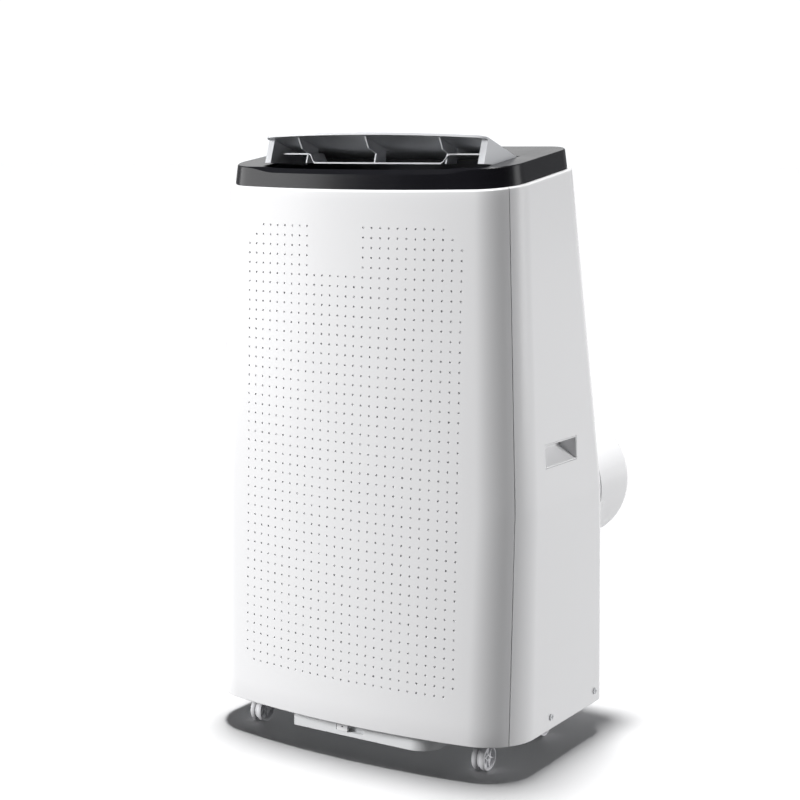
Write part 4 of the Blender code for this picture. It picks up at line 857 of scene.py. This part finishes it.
for name, width in (
    ("drain_sump", 0.0010), ("base_pan", 0.0006), ("drain_plug", 0.0006),
    ("handle_cup_left", 0.0006), ("handle_cup_right", 0.0006),
    ("control_panel", 0.0003), ("display_window", 0.0003),
    ("electrical_box", 0.0010), ("mid_partition", 0.0010),
    ("exhaust_duct", 0.0004), ("outlet_duct", 0.0004),
):
    refined(name, width, merged=False)


# Rear grilles: a framed row of slats, with the fine net of the filter behind it


def grille(node, intake, slats):
    """A frame with slanted slats and a rib down its middle, and the net as its own piece."""
    recess, tuck, rib = 0.0004, 0.0010, 0.0025
    left, right, low, high = intake
    slope = REAR_TAPER / (RIM_Z - WAIST_Z) if low > WAIST_Z else 0.0
    half = (right - left) / 2 - GRILLE_CLEARANCE
    length = (high - low) * math.hypot(1.0, slope) - 2 * GRILLE_CLEARANCE
    step = (length - 2 * GRILLE_FRAME) / (2 * slats - 1)
    middle = Vector(((left + right) / 2, -GRILLE_PLATE - recess, GRILLE_CLEARANCE))
    place = rear_frame(low) @ Matrix.Translation(middle)
    outer = ((-half, 0.0), (half, 0.0), (half, length), (-half, length))
    x, z0, z1 = half - GRILLE_FRAME, GRILLE_FRAME, length - GRILLE_FRAME
    inner = ((-x, z0), (x, z0), (x, z1), (-x, z1))
    edges = ((inner, 0.0), (inner, GRILLE_PLATE), (outer, GRILLE_PLATE), (outer, 0.0))
    parts = [
        loft([[(px, y, pz) for px, pz in loop] for loop, y in edges], around=True, wrap=True),
        box((-rib, 0.0012, z0 - tuck), (rib, 0.0054, z1 + tuck)),
    ]
    for k in range(slats - 1):
        foot = z0 + step * (2 * k + 1)
        top = foot + step
        section = ((0.0012, foot + 0.0012), (0.0056, foot - 0.0004), (0.0058, top - 0.0016), (0.0012, top))
        parts.append(prism([(-x - tuck, y, z) for y, z in section], (2 * (x + tuck), 0.0, 0.0)))
    made = piece(f"{node}_grille", moved(joined(parts), place), "filter_white", BODY_OF[node], (node,))
    soften(made, 0.0005)
    net = moved(box((-x - tuck, 0.0003, z0 - tuck), (x + tuck, 0.0008, z1 + tuck)), place)
    piece(f"{node}_net", net, "fan_grey", BODY_OF[node])


grille("upper_filter", UPPER_INTAKE, 17)
grille("lower_filter", LOWER_INTAKE, 17)


# Castors: a rounded tread on each side of the yoke, and a spoked hub set into it


def castor(prefix):
    low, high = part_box(f"{prefix}_wheel")
    centre = (low + high) / 2
    radius, outer, inner = (high.z - low.z) / 2, (high.x - low.x) / 2, 0.0018
    bore, hub, dish, spoke_half = 0.0021, 0.0040, outer - 0.0046, 0.0007
    profile = [
        (bore, outer - 0.0030), (hub - 0.0005, outer - 0.0030), (hub, outer - 0.0034), (hub, dish),
        (radius - 0.0032, dish), (radius - 0.0028, outer - 0.0006), (radius - 0.0022, outer),
        (radius - 0.0012, outer - 0.0001), (radius - 0.0003, outer - 0.0007), (radius, outer - 0.0018),
        (radius, inner + 0.0008), (radius - 0.0006, inner), (bore, inner),
    ]
    parts = []
    for side in (-1, 1):
        parts.append(turned(profile, centre, (float(side), 0.0, 0.0), 64))
        near, far = sorted((side * dish, side * (outer - 0.0024)))
        for i in range(6):
            spoke = box((near, -spoke_half, hub - 0.0003), (far, spoke_half, radius - 0.0029))
            turn = Matrix.Rotation(math.radians(60 * i + 15), 4, "X")
            parts.append(moved(spoke, Matrix.Translation(centre) @ turn))
    bm = joined(parts)
    bmesh.ops.recalc_face_normals(bm, faces=bm.faces)
    wheels = f"{prefix}_wheels"
    piece(f"{prefix}_tread", bm, "wheel_grey", wheels, (f"{prefix}_wheel",), smooth=40.0)
    refined(f"{prefix}_yoke", 0.0003)


for row in ("front", "rear"):
    for side in ("left", "right"):
        castor(f"{row}_{side}_castor")


# Floor, light and camera


FLOOR_HALF = 60.0
AIM = Vector((0.0, 0.0, 0.36))
EYE = Vector((1.08416, -1.73773, 0.71053))
EYE_DOWN, EYE_TURN = math.radians(8.47), math.radians(32.53)


def floor():
    bm = bmesh.new()
    corners = ((-1, -1), (1, -1), (1, 1), (-1, 1))
    bm.faces.new([bm.verts.new((FLOOR_HALF * x, FLOOR_HALF * y, 0.0)) for x, y in corners])
    mesh = bpy.data.meshes.new("floor")
    bm.to_mesh(mesh)
    bm.free()
    obj = bpy.data.objects.new("floor", mesh)
    bpy.context.scene.collection.objects.link(obj)
    paint = Paint("floor_paper")
    paint.colour(paint.blend(paint.noise(3.0, 4.0), (0.88, 0.88, 0.885), (0.90, 0.90, 0.905)))
    paint.roughness(paint.to_range(paint.noise(40.0, 4.0), 0.6, 0.8))
    mesh.materials.append(paint.material)
    obj.visible_diffuse = False


def direction(azimuth, elevation):
    """Unit vector from the object. Azimuth 0 is in front, and grows to the right."""
    a, e = math.radians(azimuth), math.radians(elevation)
    return Vector((math.sin(a) * math.cos(e), -math.cos(a) * math.cos(e), math.sin(e)))


def soft_box(name, azimuth, elevation, distance, width, height, power, shades=True, mirrored=True):
    """A soft box that faces the object and spares the floor. One that doesn't shade is only mirrored."""
    way = direction(azimuth, elevation)
    light = bpy.data.lights.new(name, "AREA")
    light.shape = "RECTANGLE"
    light.size, light.size_y, light.energy = width, height, power
    obj = bpy.data.objects.new(name, light)
    obj.location = AIM + way * distance
    obj.rotation_euler = way.to_track_quat("Z", "Y").to_euler()
    obj.visible_diffuse, obj.visible_glossy = shades, mirrored
    off = bpy.data.collections.new(f"{name}_receivers")
    off.objects.link(bpy.data.objects["floor"])
    off.collection_objects[0].light_linking.link_state = "EXCLUDE"
    obj.light_linking.receiver_collection = off
    bpy.context.scene.collection.objects.link(obj)


def sun(azimuth, elevation, softness, strength):
    light = bpy.data.lights.new("ceiling", "SUN")
    light.energy = strength
    light.angle = math.radians(softness)
    obj = bpy.data.objects.new("ceiling", light)
    obj.rotation_euler = direction(azimuth, elevation).to_track_quat("Z", "Y").to_euler()
    bpy.context.scene.collection.objects.link(obj)


def studio():
    """A white room, bright to the eye and dim round the object, and the soft boxes in it."""
    world = bpy.data.worlds.new("studio")
    world.use_nodes = True
    tree = world.node_tree
    tree.nodes["Background"].inputs["Color"].default_value = (0.97, 0.98, 1.0, 1.0)
    way = tree.nodes.new("ShaderNodeSeparateXYZ")
    tree.links.new(tree.nodes.new("ShaderNodeTexCoord").outputs["Generated"], way.inputs["Vector"])
    around = tree.nodes.new("ShaderNodeMapRange")
    set_range(around, -0.3, 0.7, 0.035, 0.30)
    tree.links.new(way.outputs["Y"], around.inputs["Value"])
    seen = tree.nodes.new("ShaderNodeMix")
    tree.links.new(tree.nodes.new("ShaderNodeLightPath").outputs["Is Camera Ray"], seen.inputs["Factor"])
    tree.links.new(around.outputs["Result"], seen.inputs["A"])
    seen.inputs["B"].default_value = 1.10
    tree.links.new(seen.outputs["Result"], tree.nodes["Background"].inputs["Strength"])
    bpy.context.scene.world = world
    soft_box("key_left", -45.0, 22.0, 12.0, 3.2, 4.2, 2000.0, mirrored=False)
    soft_box("side_right", 112.0, 12.0, 8.0, 3.4, 4.6, 475.0, mirrored=False)
    soft_box("card_left", -64.0, 14.0, 4.0, 3.4, 3.6, 100.0, shades=False)
    soft_box("card_right", 112.0, 10.0, 4.0, 1.4, 3.2, 28.0, shades=False)
    soft_box("card_rear", 212.0, 20.0, 4.0, 2.6, 2.0, 9.5, shades=False)
    sun(-135.0, 85.0, 12.0, 3.4)


def camera():
    data = bpy.data.cameras.new("camera")
    data.lens, data.sensor_width = 76.05, 36.0
    obj = bpy.data.objects.new("camera", data)
    obj.location = EYE
    obj.rotation_euler = (QUARTER - EYE_DOWN, 0.0, EYE_TURN)
    bpy.context.scene.collection.objects.link(obj)
    bpy.context.scene.camera = obj


floor()
studio()
camera()
scene = bpy.context.scene
scene.view_settings.view_transform = "Standard"
scene.view_settings.look = "None"
